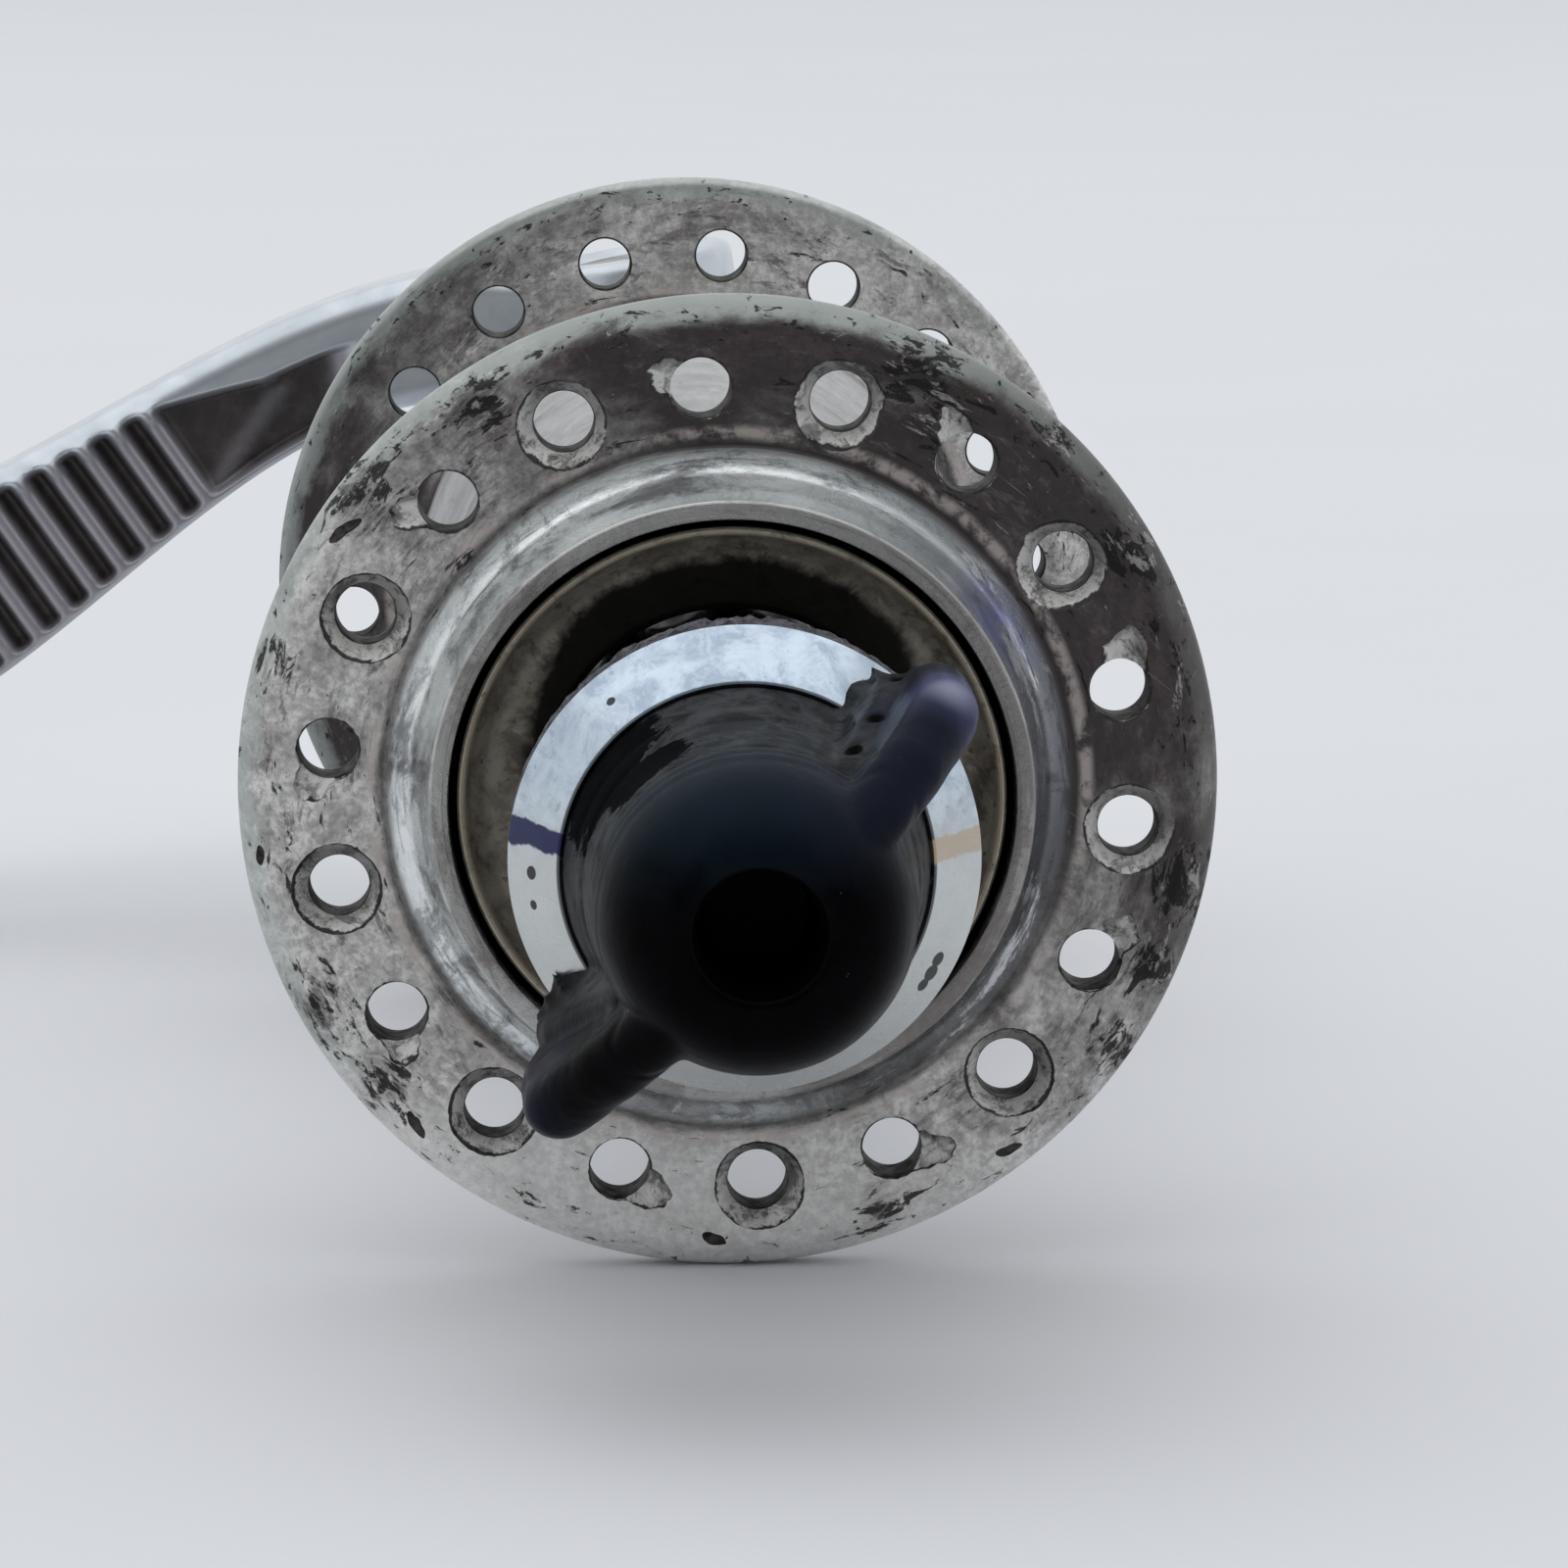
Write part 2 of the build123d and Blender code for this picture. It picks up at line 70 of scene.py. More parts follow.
# Places that the frame gives
flange_radius = reach("hub_shell", 2)
collar_end = reach("hub_shell", 1)
washer_face = reach("lock_washer_left", 1)
cone_face = reach("cone_left", 1)
locknut_face = reach("locknut_left", 1)
axle_end = reach("axle", 1)
axle_radius = reach("axle", 0)
clamp_face = -reach("adjusting_nut", 1)
nose_end = -depth("adjusting_nut", 1)
housing_end = reach("cam_housing", 1)
floor_level = -flange_radius

# Shell
flange_outer = collar_end - 4.1
flange_inner = flange_outer - 3.0
hole_circle = 18.0
hole_count = 18
hole_radius = 1.35
sink_radius = 2.05
# turn round the axle of the near flange's top hole without a countersink, in degrees
top_plain_hole = 94.0
rim_bevel = 1.1
cove_radius = 15.35
barrel_radius = 10.5
seat_shell_radius = 14.5
cup_seat = 30.87
cup_radius = 12.1
cap_bore = 12.5
# slant of the spokes' notches from the way outwards, in degrees
notch_turn = 64.0
# nicks near the rim, as (degrees round it, radius, slant from the rim's own direction, length)
nicks = (
    (146.5, 20.9, 26.0, 2.1),
    (188.0, 21.2, 12.0, 0.9),
    (227.6, 20.9, 26.0, 1.8),
    (268.0, 20.6, 23.0, 1.3),
    (307.5, 20.9, 21.0, 1.8),
)
# where the near flange's rim was struck, as (x, z, size)
struck_places = (
    (8.5, 18.6, 3.0), (9.4, 16.4, 2.8), (15.0, 16.0, 2.4), (18.1, 10.8, 3.0),
    (20.2, -4.6, 2.6), (19.4, -8.4, 2.4), (17.6, -12.0, 2.4), (6.8, -19.6, 2.2), (-18.0, -9.6, 2.6),
    (-15.6, -13.6, 2.6), (-16.0, 13.2, 3.0), (-11.2, 17.2, 2.4), (-20.4, 6.0, 1.8),
)

# Bearings
ball_radius = 4.7625 / 2
ball_circle = 8.6
ball_plane = 34.5
ball_count = 10
cap_base = 37.25
cone_bore = 4.6
thread_bore = 4.53

# Adjusting nut
nut_turn = math.radians(46.0)
# the nut's travel to one side, with a little to spare
recess_floor = clamp_face + 3.4
ring_back = 53.6
ring_radius = 10.0
pit_plane = 57.0
wing_reach = 13.0
wing_half = 1.5
wing_root = 2.0
wing_foot = 57.4
neck_start = 58.4
neck_radius = 7.7
nose_start = 68.6
nose_radius = 6.6
mouth_radius = 2.75
nut_bore = 2.53
# pits in the nut's plated ring, as (x, z, size), and in the upper wing's flank
pit_places = (
    (-9.0, -0.3, 0.26), (-9.0, -1.7, 0.22), (-8.95, -2.9, 0.27), (-5.6, 6.9, 0.2),
    (8.2, -4.2, 0.34), (7.95, -4.8, 0.42), (7.6, -5.3, 0.34),
)
flank_pits = ((6.3, -58.6, 8.1), (5.1, -63.1, 7.1), (4.05, -65.8, 6.2))

# Lever: it hangs below level, and its shaft crosses the axle at the pin. Its sizes are distances along it
# from the shaft, levels above the axle along the shaft, or places from the pin along the axle.
lever_drop = math.radians(9.5)
pin_place = housing_end - 9.4
along_lever = Vector((-math.cos(lever_drop), 0, -math.sin(lever_drop)))
up_shaft = Vector((-math.sin(lever_drop), 0, math.cos(lever_drop)))
shaft_turn = Vector((0, 1, 0)).rotation_difference(up_shaft).to_matrix().to_4x4()
shaft_frame = Matrix.Translation((0, pin_place, 0)) @ shaft_turn
arm_bottom = 9.0
arm_half = 3.6
arm_edge = 1.5
boss_top = 15.4
boss_radius = 6.0
arm_top = 16.4
tip_centre = 52.8
tip_radius = 6.2
tip_level = 1.6
lever_length = 59.0
sweep_start = 9.0
top_bend_start = 11.0
bottom_bend_start = 13.5
bend_end = 50.0
inboard_sweep = 12.3
paddle_thickness = 3.8
rim_width = 1.1
band_growth = 0.22
widest_band = 2.6
low_rim_width = 0.6
hollow_start = 15.6
hollow_depth = 1.5
crease_top = Vector((21.2, 11.2))
crease_foot = Vector((25.7, 6.2))
rib_slant = 0.4
first_rib = 28.7
rib_pitch = 1.95
rib_count = 13
rib_width = 1.36

# Mesh code


def around(angle, radius=1.0, place=0.0):
    """The point at an angle round the axle, a radius away from it."""
    return Vector((radius * math.cos(angle), place, radius * math.sin(angle)))


def sideways(angle):
    """The way round the axle at an angle."""
    return Vector((-math.sin(angle), 0, math.cos(angle)))


def circle(count):
    """Angles that are spaced evenly round a full turn."""
    return [2 * math.pi * number / count for number in range(count)]


def skin(layers, count, ring=True, back=False):
    """Faces between layers of points; each layer can be a ring, and the last can lead back to the first."""
    faces = []
    for layer in range(layers if back else layers - 1):
        low = layer * count
        high = (layer + 1) % layers * count
        for number in range(count if ring else count - 1):
            ahead = (number + 1) % count
            faces.append((low + number, low + ahead, high + ahead, high + number))
    return faces


def lids(layers, count):
    """Faces that close the first and the last layer."""
    return [tuple(range(count)), tuple(range(layers * count - 1, (layers - 1) * count - 1, -1))]


def placed(name, data):
    """A new object in the scene."""
    obj = bpy.data.objects.new(name, data)
    bpy.context.scene.collection.objects.link(obj)
    return obj


def piece(name, vertices, faces, look=None, hollows=None):
    """A mesh object from points in millimetres. With a value for each point, it keeps all its points."""
    mesh = bpy.data.meshes.new(name)
    mesh.from_pydata([Vector(v) * MM for v in vertices], [], faces)
    obj = placed(name, mesh)
    clean(mesh, join=hollows is None)
    if hollows:
        attribute = mesh.attributes.new("hollow", "FLOAT", "POINT")
        attribute.data.foreach_set("value", hollows)
    if look:
        mesh.materials.append(look)
    shade(obj, 35)
    return obj


def clean(mesh, join):
    """Turns the faces outwards, and can join points that lie together."""
    net = bmesh.new()
    net.from_mesh(mesh)
    if join:
        bmesh.ops.remove_doubles(net, verts=net.verts, dist=1e-7)
        bmesh.ops.dissolve_degenerate(net, edges=net.edges, dist=1e-7)
    bmesh.ops.recalc_face_normals(net, faces=net.faces)
    net.to_mesh(mesh)
    net.free()


def shade(obj, angle):
    """Smooth shading, with edges sharper than the angle left crisp."""
    obj.data.shade_smooth()
    obj.data.set_sharp_from_angle(angle=math.radians(angle))


def dress(obj, body, node=None, angle=35):
    """Lets a finished piece ride on a body, and stand for a CAD node."""
    shade(obj, angle)
    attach(obj, body)
    if node:
        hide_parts(node)


def modify(obj, kind, **settings):
    """Applies one modifier to the object's mesh."""
    step = obj.modifiers.new(kind, kind)
    for key, value in settings.items():
        setattr(step, key, value)
    bpy.context.view_layer.update()
    view = bpy.context.evaluated_depsgraph_get()
    mesh = bpy.data.meshes.new_from_object(obj.evaluated_get(view))
    obj.modifiers.clear()
    obj.data = mesh


def combine(obj, tool, operation="DIFFERENCE"):
    """Cuts the tool out of the object, or joins the two, and removes the tool."""
    modify(obj, "BOOLEAN", object=tool, operation=operation, solver="EXACT", material_mode="TRANSFER")
    bpy.data.objects.remove(tool)


def rounded(corners, steps=5, closed=True):
    """A line through corners (radius, place, rounding), with each corner turned into a soft curve."""
    points = []
    for number, corner in enumerate(corners):
        here = Vector(corner[:2])
        rounding = corner[2] if len(corner) > 2 else 0
        at_end = not closed and number in (0, len(corners) - 1)
        if rounding <= 0 or at_end:
            points.append(here)
            continue
        before = Vector(corners[number - 1][:2]) - here
        after = Vector(corners[(number + 1) % len(corners)][:2]) - here
        half = before.angle(after) / 2
        run = min(rounding / math.tan(half), 0.48 * before.length, 0.48 * after.length)
        start = here + before.normalized() * run
        end = here + after.normalized() * run
        for step in range(steps + 1):
            share = step / steps
            points.append(start.lerp(here, share).lerp(here.lerp(end, share), share))
    return points


def lathe(name, profile, look=None, side=1, segments=180, at=Matrix.Identity(4)):
    """Turns a closed line of (radius, place) round the axle, or round the Y axis of another frame."""
    turns = circle(segments)
    vertices = [at @ around(angle, radius, side * place) for angle in turns for radius, place in profile]
    return piece(name, vertices, skin(segments, len(profile), back=True), look)


def prism(name, outline, start, end, look, side):
    """A straight bar whose outline is given as (x, z), from one place to another along the axle."""
    vertices = [(x, side * place, z) for place in (start, end) for x, z in outline]
    return piece(name, vertices, lids(2, len(outline)) + skin(2, len(outline)), look)


def polygon(radius, sides):
    """The corners of a regular polygon as (x, z)."""
    return [(radius * math.cos(angle), radius * math.sin(angle)) for angle in circle(sides)]


def rectangle(left, right, bottom, top):
    """The corners of a rectangle as (x, z)."""
    return [(left, bottom), (right, bottom), (right, top), (left, top)]


def joined(name, parts):
    """One object from several, whose meshes are put together as they are."""
    net = bmesh.new()
    looks = []
    for part in parts:
        mesh = part.data
        first = len(net.faces)
        net.from_mesh(mesh)
        net.faces.ensure_lookup_table()
        for look in mesh.materials:
            if look not in looks:
                looks.append(look)
        for face in net.faces[first:]:
            if mesh.materials:
                face.material_index = looks.index(mesh.materials[face.material_index])
    mesh = bpy.data.meshes.new(name)
    net.to_mesh(mesh)
    net.free()
    for look in looks:
        mesh.materials.append(look)
    for part in parts:
        bpy.data.objects.remove(part)
    return placed(name, mesh)


# Materials


def srgb(red, green, blue):
    """A colour given as 0 to 255 on screen, as the shader wants it."""
    parts = []
    for level in (red, green, blue):
        share = level / 255
        parts.append(share / 12.92 if share <= 0.04045 else ((share + 0.055) / 1.055) ** 2.4)
    return (*parts, 1.0)


class Value:
    """A number worked out at each point. What is done with it adds a node and gives another Value."""

    def __init__(self, nodes, socket):
        self.nodes = nodes
        self.socket = socket

    def __add__(self, other):
        return self.nodes.maths("ADD", self, other)

    def __sub__(self, number):
        return self + -number

    def __mul__(self, other):
        return self.nodes.maths("MULTIPLY", self, other)

    def most(self, other):
        return self.nodes.maths("MAXIMUM", self, other)

    def absolute(self):
        return self.nodes.maths("ABSOLUTE", self)

    def level(self, low, high, start=0.0, end=1.0):
        """Goes smoothly from start to end while the value goes from low to high."""
        inputs = {"Value": self, "From Min": low, "From Max": high, "To Min": start, "To Max": end}
        return self.nodes.value("MapRange", inputs, interpolation_type="SMOOTHSTEP")

    def spread(self, start, end):
        """Goes from start to end over the middle of a noise's range."""
        return self.level(0.3, 0.7, start, end)


class Nodes:
    """A tree of shader nodes."""

    def __init__(self, tree):
        self.tree = tree

    def node(self, kind, inputs=None, **settings):
        made = self.tree.nodes.new("ShaderNode" + kind)
        for key, value in settings.items():
            setattr(made, key, value)
        for key, value in (inputs or {}).items():
            self.feed(made.inputs[key], value)
        return made

    def feed(self, socket, value):
        if isinstance(value, Value):
            value = value.socket
        if isinstance(value, bpy.types.NodeSocket):
            self.tree.links.new(value, socket)
        else:
            socket.default_value = value

    def value(self, kind, inputs, output=0, **settings):
        return Value(self, self.node(kind, inputs, **settings).outputs[output])

    def maths(self, operation, first, second=0.0):
        return self.value("Math", {0: first, 1: second}, operation=operation)

    def vector(self, operation, first, second=(0, 0, 0), scale=1.0):
        inputs = {0: first, 1: second, 3: scale}
        return self.node("VectorMath", inputs, operation=operation).outputs[0]

    def measure(self, operation, first, second=(0, 0, 0)):
        return self.value("VectorMath", {0: first, 1: second}, "Value", operation=operation)


class Look(Nodes):
    """One procedural material."""

    def __init__(self, name, **fixed):
        self.material = bpy.data.materials.new(name)
        self.material.use_nodes = True
        super().__init__(self.material.node_tree)
        self.shader = self.tree.nodes["Principled BSDF"]
        for key, value in fixed.items():
            self.shader.inputs[key.replace("_", " ")].default_value = value
        self.place = self.node("TexCoord").outputs["Object"]

    def noise(self, size, detail=4.0, rough=0.6, distortion=0.0, place=None, seed=0.0):
        """Soft noise whose blotches are about the given size in millimetres."""
        inputs = {
            "Vector": place or self.place,
            "W": seed,
            "Scale": 1 / (size * MM),
            "Detail": detail,
            "Roughness": rough,
            "Distortion": distortion,
        }
        return self.value("TexNoise", inputs, noise_dimensions="4D")

    def scratches(self, turn, seed):
        """Fine straight scratches across the axle, at a turn about it."""
        inputs = {"Vector": self.place, "Rotation": (0.0, turn, 0.0), "Scale": (0.09, 1.0, 7.0)}
        along = self.node("Mapping", inputs, vector_type="TEXTURE").outputs[0]
        return self.noise(1.0, 2.0, 0.5, 0.15, along, seed).level(0.7, 0.735)

    def turned(self, stretch):
        """The place with its distance from the spoke circle stretched, so that noise runs round the axle."""
        across = self.vector("MULTIPLY", self.place, (1, 0, 1))
        way = self.vector("NORMALIZE", across)
        inwards = self.vector("SCALE", way, scale=hole_circle * MM * (1 - stretch))
        return self.vector("ADD", self.vector("SCALE", across, scale=stretch), inwards)

    def slope(self, *way, of=None):
        """The place along a way, whose length says how much each metre counts."""
        return self.measure("DOT_PRODUCT", of or self.place, way)

    def axis_part(self, axis):
        """One coordinate of the place, in metres."""
        return self.value("SeparateXYZ", {0: self.place}, axis)

    def radius(self):
        """Distance from the axle, in millimetres."""
        return self.measure("LENGTH", self.vector("MULTIPLY", self.place, (1 / MM, 0, 1 / MM)))

    def spot(self, centre, radius):
        """1 at a point given in millimetres, which fades to 0 at the radius."""
        scaled = self.vector("MULTIPLY", self.place, (1 / MM, 1 / MM, 1 / MM))
        return self.measure("DISTANCE", scaled, centre).level(radius, 0.0)

    def pits(self, spots, ragged, low):
        """Ragged pits at spots, each given as (centre, radius)."""
        return reduce(Value.most, [(self.spot(*spot) + ragged).level(low, 0.2) for spot in spots])

    def mix(self, share, first, second):
        """Mixes two colours: outputs of other mixes, or levels from 0 to 255 on screen."""
        first, second = [srgb(*tint) if isinstance(tint, tuple) else tint for tint in (first, second)]
        return self.node("Mix", {0: share, 6: first, 7: second}, data_type="RGBA").outputs[2]

    def ground(self, share, first, second):
        """Starts the colour as a mix of two."""
        self.colour = self.mix(share, first, second)

    def paint(self, share, tint):
        """Lays a share of another colour over the colour so far."""
        self.colour = self.mix(share, self.colour, tint)

    def finish(self, roughness, height=None, bump_mm=0.05, strength=1.0):
        """Connects colour, roughness and bump, and gives back the material."""
        self.feed(self.shader.inputs["Base Color"], self.colour)
        self.feed(self.shader.inputs["Roughness"], roughness)
        if height:
            inputs = {"Height": height, "Distance": bump_mm * MM, "Strength": strength}
            self.feed(self.shader.inputs["Normal"], self.node("Bump", inputs).outputs[0])
        return self.material


def collar_colour(look):
    """The turned collar: pale rings, dark arcs, dirt below, painted shade on its right and lower right, and
    one bluish spot.
    """
    rings = look.noise(3.2, 9.0, 0.72, 0.6, look.turned(2.2), 31.0)
    arcs = look.noise(2.2, 8.0, 0.7, 0.5, look.turned(4.0), 43.0)
    bright = look.noise(2.6, 8.0, 0.7, 0.5, look.turned(3.0), 47.0)
    darkening = look.noise(4.0, 8.0, 0.72, 0.7, seed=37.0) + look.slope(0, 0, -5)
    bluish = look.spot((11.3, -flange_outer - 1.0, 7.2), 3.6) * rings.level(0.4, 0.56)
    colour = look.mix(rings.level(0.38, 0.54), (134, 136, 138), (240, 245, 245))
    for share, tint in (
        # painted shade: darker on the right side and towards the lower right
        (look.axis_part(0).level(0.002, 0.016), (128, 130, 136)),
        (look.slope(1, 0, -0.9).level(0.012, 0.018, 0.0, 0.75), (72, 74, 76)),
        (arcs.level(0.54, 0.6) * 0.65, (66, 67, 70)),
        (bright.level(0.54, 0.6) * 0.6, (250, 252, 255)),
        (darkening.level(0.52, 0.59) * 0.55, (58, 56, 56)),
        (bluish * 0.7, (132, 138, 204)),
    ):
        colour = look.mix(share, colour, tint)
    return colour


def barrel_colour(look, blotch):
    """The barrel between the flanges: clean, with fine turning marks."""
    bands = look.node("Mapping", {"Vector": look.place, "Scale": (0.12, 1.0, 0.12)}).outputs[0]
    bands = look.noise(0.9, 5.0, 0.7, 0.2, bands, 45.0)
    colour = look.mix(bands.level(0.3, 0.7), (172, 174, 175), (206, 207, 208))
    return look.mix(blotch.level(0.5, 0.7, 0.0, 0.4), colour, (128, 126, 126))


def shell_alloy():
    """Aged aluminium: blotched, stained and scuffed, brightest on the turned collar, with painted light and
    shade across the flanges.
    """
    look = Look("shell_alloy", IOR=1.5)
    radius = look.radius()
    round_axle = look.turned(3.0)
    drawn_out = look.turned(3.4)
    broad = look.noise(9.0, 3.0, 0.55, 0.5, seed=3.0)
    blotch = look.noise(2.6, 10.0, 0.72, 0.7)
    streaks = look.noise(4.5, 9.0, 0.7, 0.6, round_axle, 41.0)
    fine = look.noise(0.45, 6.0, 0.7)
    along = look.axis_part(1).absolute()
    far = look.axis_part(1).level(0.0, 0.02)
    # painted light and shade: the near flange is darkest at its top and right, the far one at its lower left,
    # with broad blotches and streaks mixed in
    side = look.slope(-44, 0, -58) + far * look.slope(78, 0, 66)
    painted_light_and_clean_share = side + (broad - 0.5) * 2.2 + (streaks - 0.5) * 1.8
    look.ground(painted_light_and_clean_share.level(-1.0, 0.5), (70, 64, 64), (244, 242, 238))
    # painted light: the dirt thins out towards the bottom, so that the lower flanges read lighter
    dirt_thinned_by_painted_light = look.slope(0, 0, -1).level(0.012, 0.018, 1.0, 0.35)
    look.paint(dirt_thinned_by_painted_light * blotch.level(0.38, 0.6, 0.45, 0.0), (66, 58, 57))
    # stains with ragged edges, some of them drawn out round the axle; pale ones only where the painted light
    # and clean tone is high
    pale = painted_light_and_clean_share.level(-0.4, 0.3, 0.15, 1.0)
    for place, size, seed, low, share, tint in (
        (round_axle, 6.0, 11.0, 0.53, dirt_thinned_by_painted_light * 0.45, (96, 82, 86)),
        (round_axle, 3.4, 7.0, 0.56, dirt_thinned_by_painted_light * 0.6, (66, 54, 50)),
        (round_axle, 3.0, 17.0, 0.57, pale * 0.5, (230, 227, 223)),
        (look.place, 2.4, 27.0, 0.6, pale * 0.45, (222, 218, 214)),
        (look.place, 1.4, 19.0, 0.62, 0.55, (48, 43, 42)),
    ):
        stain = look.noise(size, 10.0, 0.74, 0.6, place, seed).level(low, low + 0.05)
        look.paint(stain * share, tint)
    look.paint(fine.level(0.6, 0.4, 0.0, 0.35), (50, 46, 46))
    # painted light: the lowest part of the flanges, a little more on the left, turns lighter towards white
    look.paint(look.slope(-0.2, 0, -1).level(0.014, 0.019, 0.0, 0.5), (248, 247, 244))
    # painted highlight: paler greenish on the rounded rim, mostly on the left and at the top, where it faces
    # the light
    edge = flange_radius - rim_bevel
    rim = (radius + streaks * 3.0).level(edge + 1.2, edge + 2.2)
    look.paint(rim * look.slope(-1, 0, 1).level(-0.012, 0.02, 0.1, 0.7), (176, 184, 180))
    # a rubbed ridge where the face meets the collar's cove, and a dark band at its foot
    ridge = (radius - (cove_radius + 0.6)).absolute().level(0.5, 0.1)
    ridge *= look.noise(2.0, 8.0, 0.7, 0.5, seed=23.0).level(0.42, 0.56)
    look.paint(ridge * 0.7, (206, 196, 190))
    foot = ((radius - cove_radius).absolute() + streaks * -1.6).level(-0.2, -0.7)
    look.paint(foot * 0.75, (46, 42, 42))
    # dark scuffs, mostly where the rim was struck
    struck = reduce(Value.most, [look.spot((x, -flange_outer, z), size) for x, z, size in struck_places])
    near_rim = radius.level(19.6, 20.8) * radius.level(22.3, 21.4)
    haze = look.noise(3.4, 8.0, 0.72, 0.8, round_axle, 33.0) + struck * 0.17
    look.paint(haze.level(0.56, 0.7) * dirt_thinned_by_painted_light * 0.7, (56, 49, 48))
    flecks = look.noise(2.2, 9.0, 0.7, 0.8, drawn_out, 5.0) + struck * 0.13
    scuffs = (flecks + near_rim * 0.03).level(0.61, 0.645)
    look.paint(scuffs * 0.92, (22, 19, 20))
    chips = look.noise(1.8, 9.0, 0.72, 0.8, drawn_out, 29.0) + struck * 0.08
    look.paint((chips + near_rim * 0.02).level(0.625, 0.665) * 0.42, (214, 210, 206))
    grit = look.noise(0.42, 5.0, 0.75, seed=13.0).level(0.66, 0.7)
    look.paint(grit * 0.7, (38, 34, 33))
    lines = look.scratches(0.7, 2.0).most(look.scratches(-0.9, 4.0))
    lines *= look.noise(6.0, 3.0, seed=21.0).level(0.54, 0.64)
    look.paint(lines * 0.3, (208, 208, 208))
    # the collar and the barrel between the flanges are cleaner
    outside = along.level((flange_outer + 0.02) * MM, (flange_outer + 0.3) * MM)
    collar = radius.level(15.5, 15.0) * outside
    look.paint(collar * 0.88, collar_colour(look))
    between = along.level((flange_inner - 0.5) * MM, (flange_inner - 1.5) * MM)
    inside = radius.level(15.2, 14.8) * between
    look.paint(inside * 0.8, barrel_colour(look, blotch))
    end_face = along.level((collar_end - 0.12) * MM, (collar_end - 0.03) * MM)
    look.paint(end_face * 0.65, (142, 136, 130))
    # painted shade: the collar's bore round the dust cap is near black
    look.paint(radius.level(cap_bore + 0.12, cap_bore) * outside, (14, 12, 12))
    look.feed(look.shader.inputs["Metallic"], collar * 0.25 + inside * -0.3 + 0.5)
    rough = blotch.spread(0.5, 0.36) + collar * -0.16 + (inside + scuffs) * 0.2
    height = blotch * 0.6 + fine * 0.35 + streaks * 0.6 + lines * -0.2 + (grit + scuffs) * -0.45
    return look.finish(rough, height, 0.09, 0.8)


def torn_alloy():
    """Cut aluminium inside countersinks and notches: bright, torn, with a dark ragged outline."""
    look = Look("torn_alloy", Metallic=0.6)
    tear = look.noise(0.9, 9.0, 0.76, 1.0)
    look.ground(tear.level(0.34, 0.52), (112, 108, 106), (240, 238, 235))
    dark = look.noise(1.8, 9.0, 0.74, 0.8, seed=3.0).level(0.5, 0.58)
    look.paint(dark * 0.6, (52, 48, 46))
    ragged = look.axis_part(1).absolute() * (1 / MM) + look.noise(2.2, 7.0, 0.74, 0.5, seed=9.0) * 1.1
    outline = ragged.level(flange_outer + 0.4, flange_outer + 0.47)
    look.paint(outline * 0.92, (24, 21, 20))
    # painted shade: what faces downwards is darker than what faces up
    facing = look.slope(0.35, 0.0, 0.94, of=look.node("TexCoord").outputs["Normal"])
    look.paint(facing.level(0.1, -0.5) * 0.5, (62, 58, 55))
    return look.finish(tear.spread(0.42, 0.26) + outline.most(dark) * 0.25, tear, 0.14, 0.9)


def bored_alloy():
    """Walls of the spoke holes, dark."""
    look = Look("bored_alloy", Metallic=0.3)
    grain = look.noise(1.0, 7.0, 0.7, 0.6)
    look.ground(grain.level(0.4, 0.62), (22, 21, 18), (84, 82, 76))
    return look.finish(grain.spread(0.8, 0.55), grain, 0.08, 0.8)


def nick_alloy():
    """Dirt in the nicks of the rim, black along their edges."""
    look = Look("nick_dirt", Metallic=0.3)
    grain = look.noise(0.35, 5.0, 0.7)
    look.ground(grain.level(0.35, 0.65), (30, 28, 27), (84, 80, 76))
    shallow = look.axis_part(1).absolute() * (1 / MM) + grain * 0.16
    look.paint(shallow.level(flange_outer - 0.06, flange_outer + 0.03), (16, 14, 14))
    return look.finish(grain.spread(0.75, 0.5), grain, 0.08, 0.8)


def cap_bronze():
    """Tarnished dust cap, bronze on its lip, with painted shade that makes it almost black towards its hole.
    """
    look = Look("cap_bronze", Metallic=0.7)
    radius = look.radius()
    film = look.noise(1.8, 9.0, 0.7, 0.5)
    look.ground(film.level(0.36, 0.62), (134, 127, 116), (188, 182, 170))
    look.paint(look.noise(2.6, 8.0, 0.7, 0.6, seed=8.0).level(0.54, 0.6) * 0.5, (64, 57, 50))
    # painted shade: the dish turns near black towards its hole, reaching further out at the top
    upper = look.axis_part(2).level(0.001, 0.009, 0.0, -1.5)
    look.paint((radius + upper + film * 1.2).level(10.2, 9.4) * 0.97, (8, 7, 6))
    lip = radius.level(11.7, 11.85) * radius.level(12.2, 12.1)
    rubbed = look.noise(1.0, 7.0, 0.7, 0.5, seed=6.0).level(0.32, 0.5)
    look.paint(lip * rubbed * 0.9, (226, 216, 196))
    look.paint(look.noise(0.5, 5.0, 0.7, seed=4.0).level(0.62, 0.66) * 0.7, (44, 37, 32))
    return look.finish(film.spread(0.5, 0.34), film, 0.06, 0.7)


def steel(name, light, dark, rough_low, rough_high, size=3.0, rust=0.0, bump=0.03, soil=0.35):
    """Plain steel with a film of wear: two tones, some rust or grime, and uneven gloss."""
    look = Look(name, Metallic=0.95)
    film = look.noise(size, 6.0, 0.6, 0.4)
    look.ground(film.level(0.3, 0.7), dark, light)
    grime = look.noise(size * 0.6, 5.0, 0.65, 0.6, seed=9.0).level(0.58, 0.7)
    look.paint(grime * (soil + rust), (78, 62, 50))
    height = film + look.noise(0.35, 3.0, 0.5, seed=1.0) * 0.4
    return look.finish(film.spread(rough_high, rough_low) + grime * 0.12, height, bump, 0.5)


def rod_steel():
    """The rod: dull steel, black with dirt where it ends inside the nut."""
    look = Look("rod_steel", Metallic=0.9)
    film = look.noise(2.5, 6.0, 0.6, 0.4)
    look.ground(film.level(0.3, 0.7), (96, 94, 94), (150, 149, 150))
    dirt = look.axis_part(1).level(-0.060, -0.066)
    look.paint(dirt, (7, 7, 7))
    return look.finish(film.spread(0.4, 0.28) + dirt * 0.3, film, 0.03, 0.5)


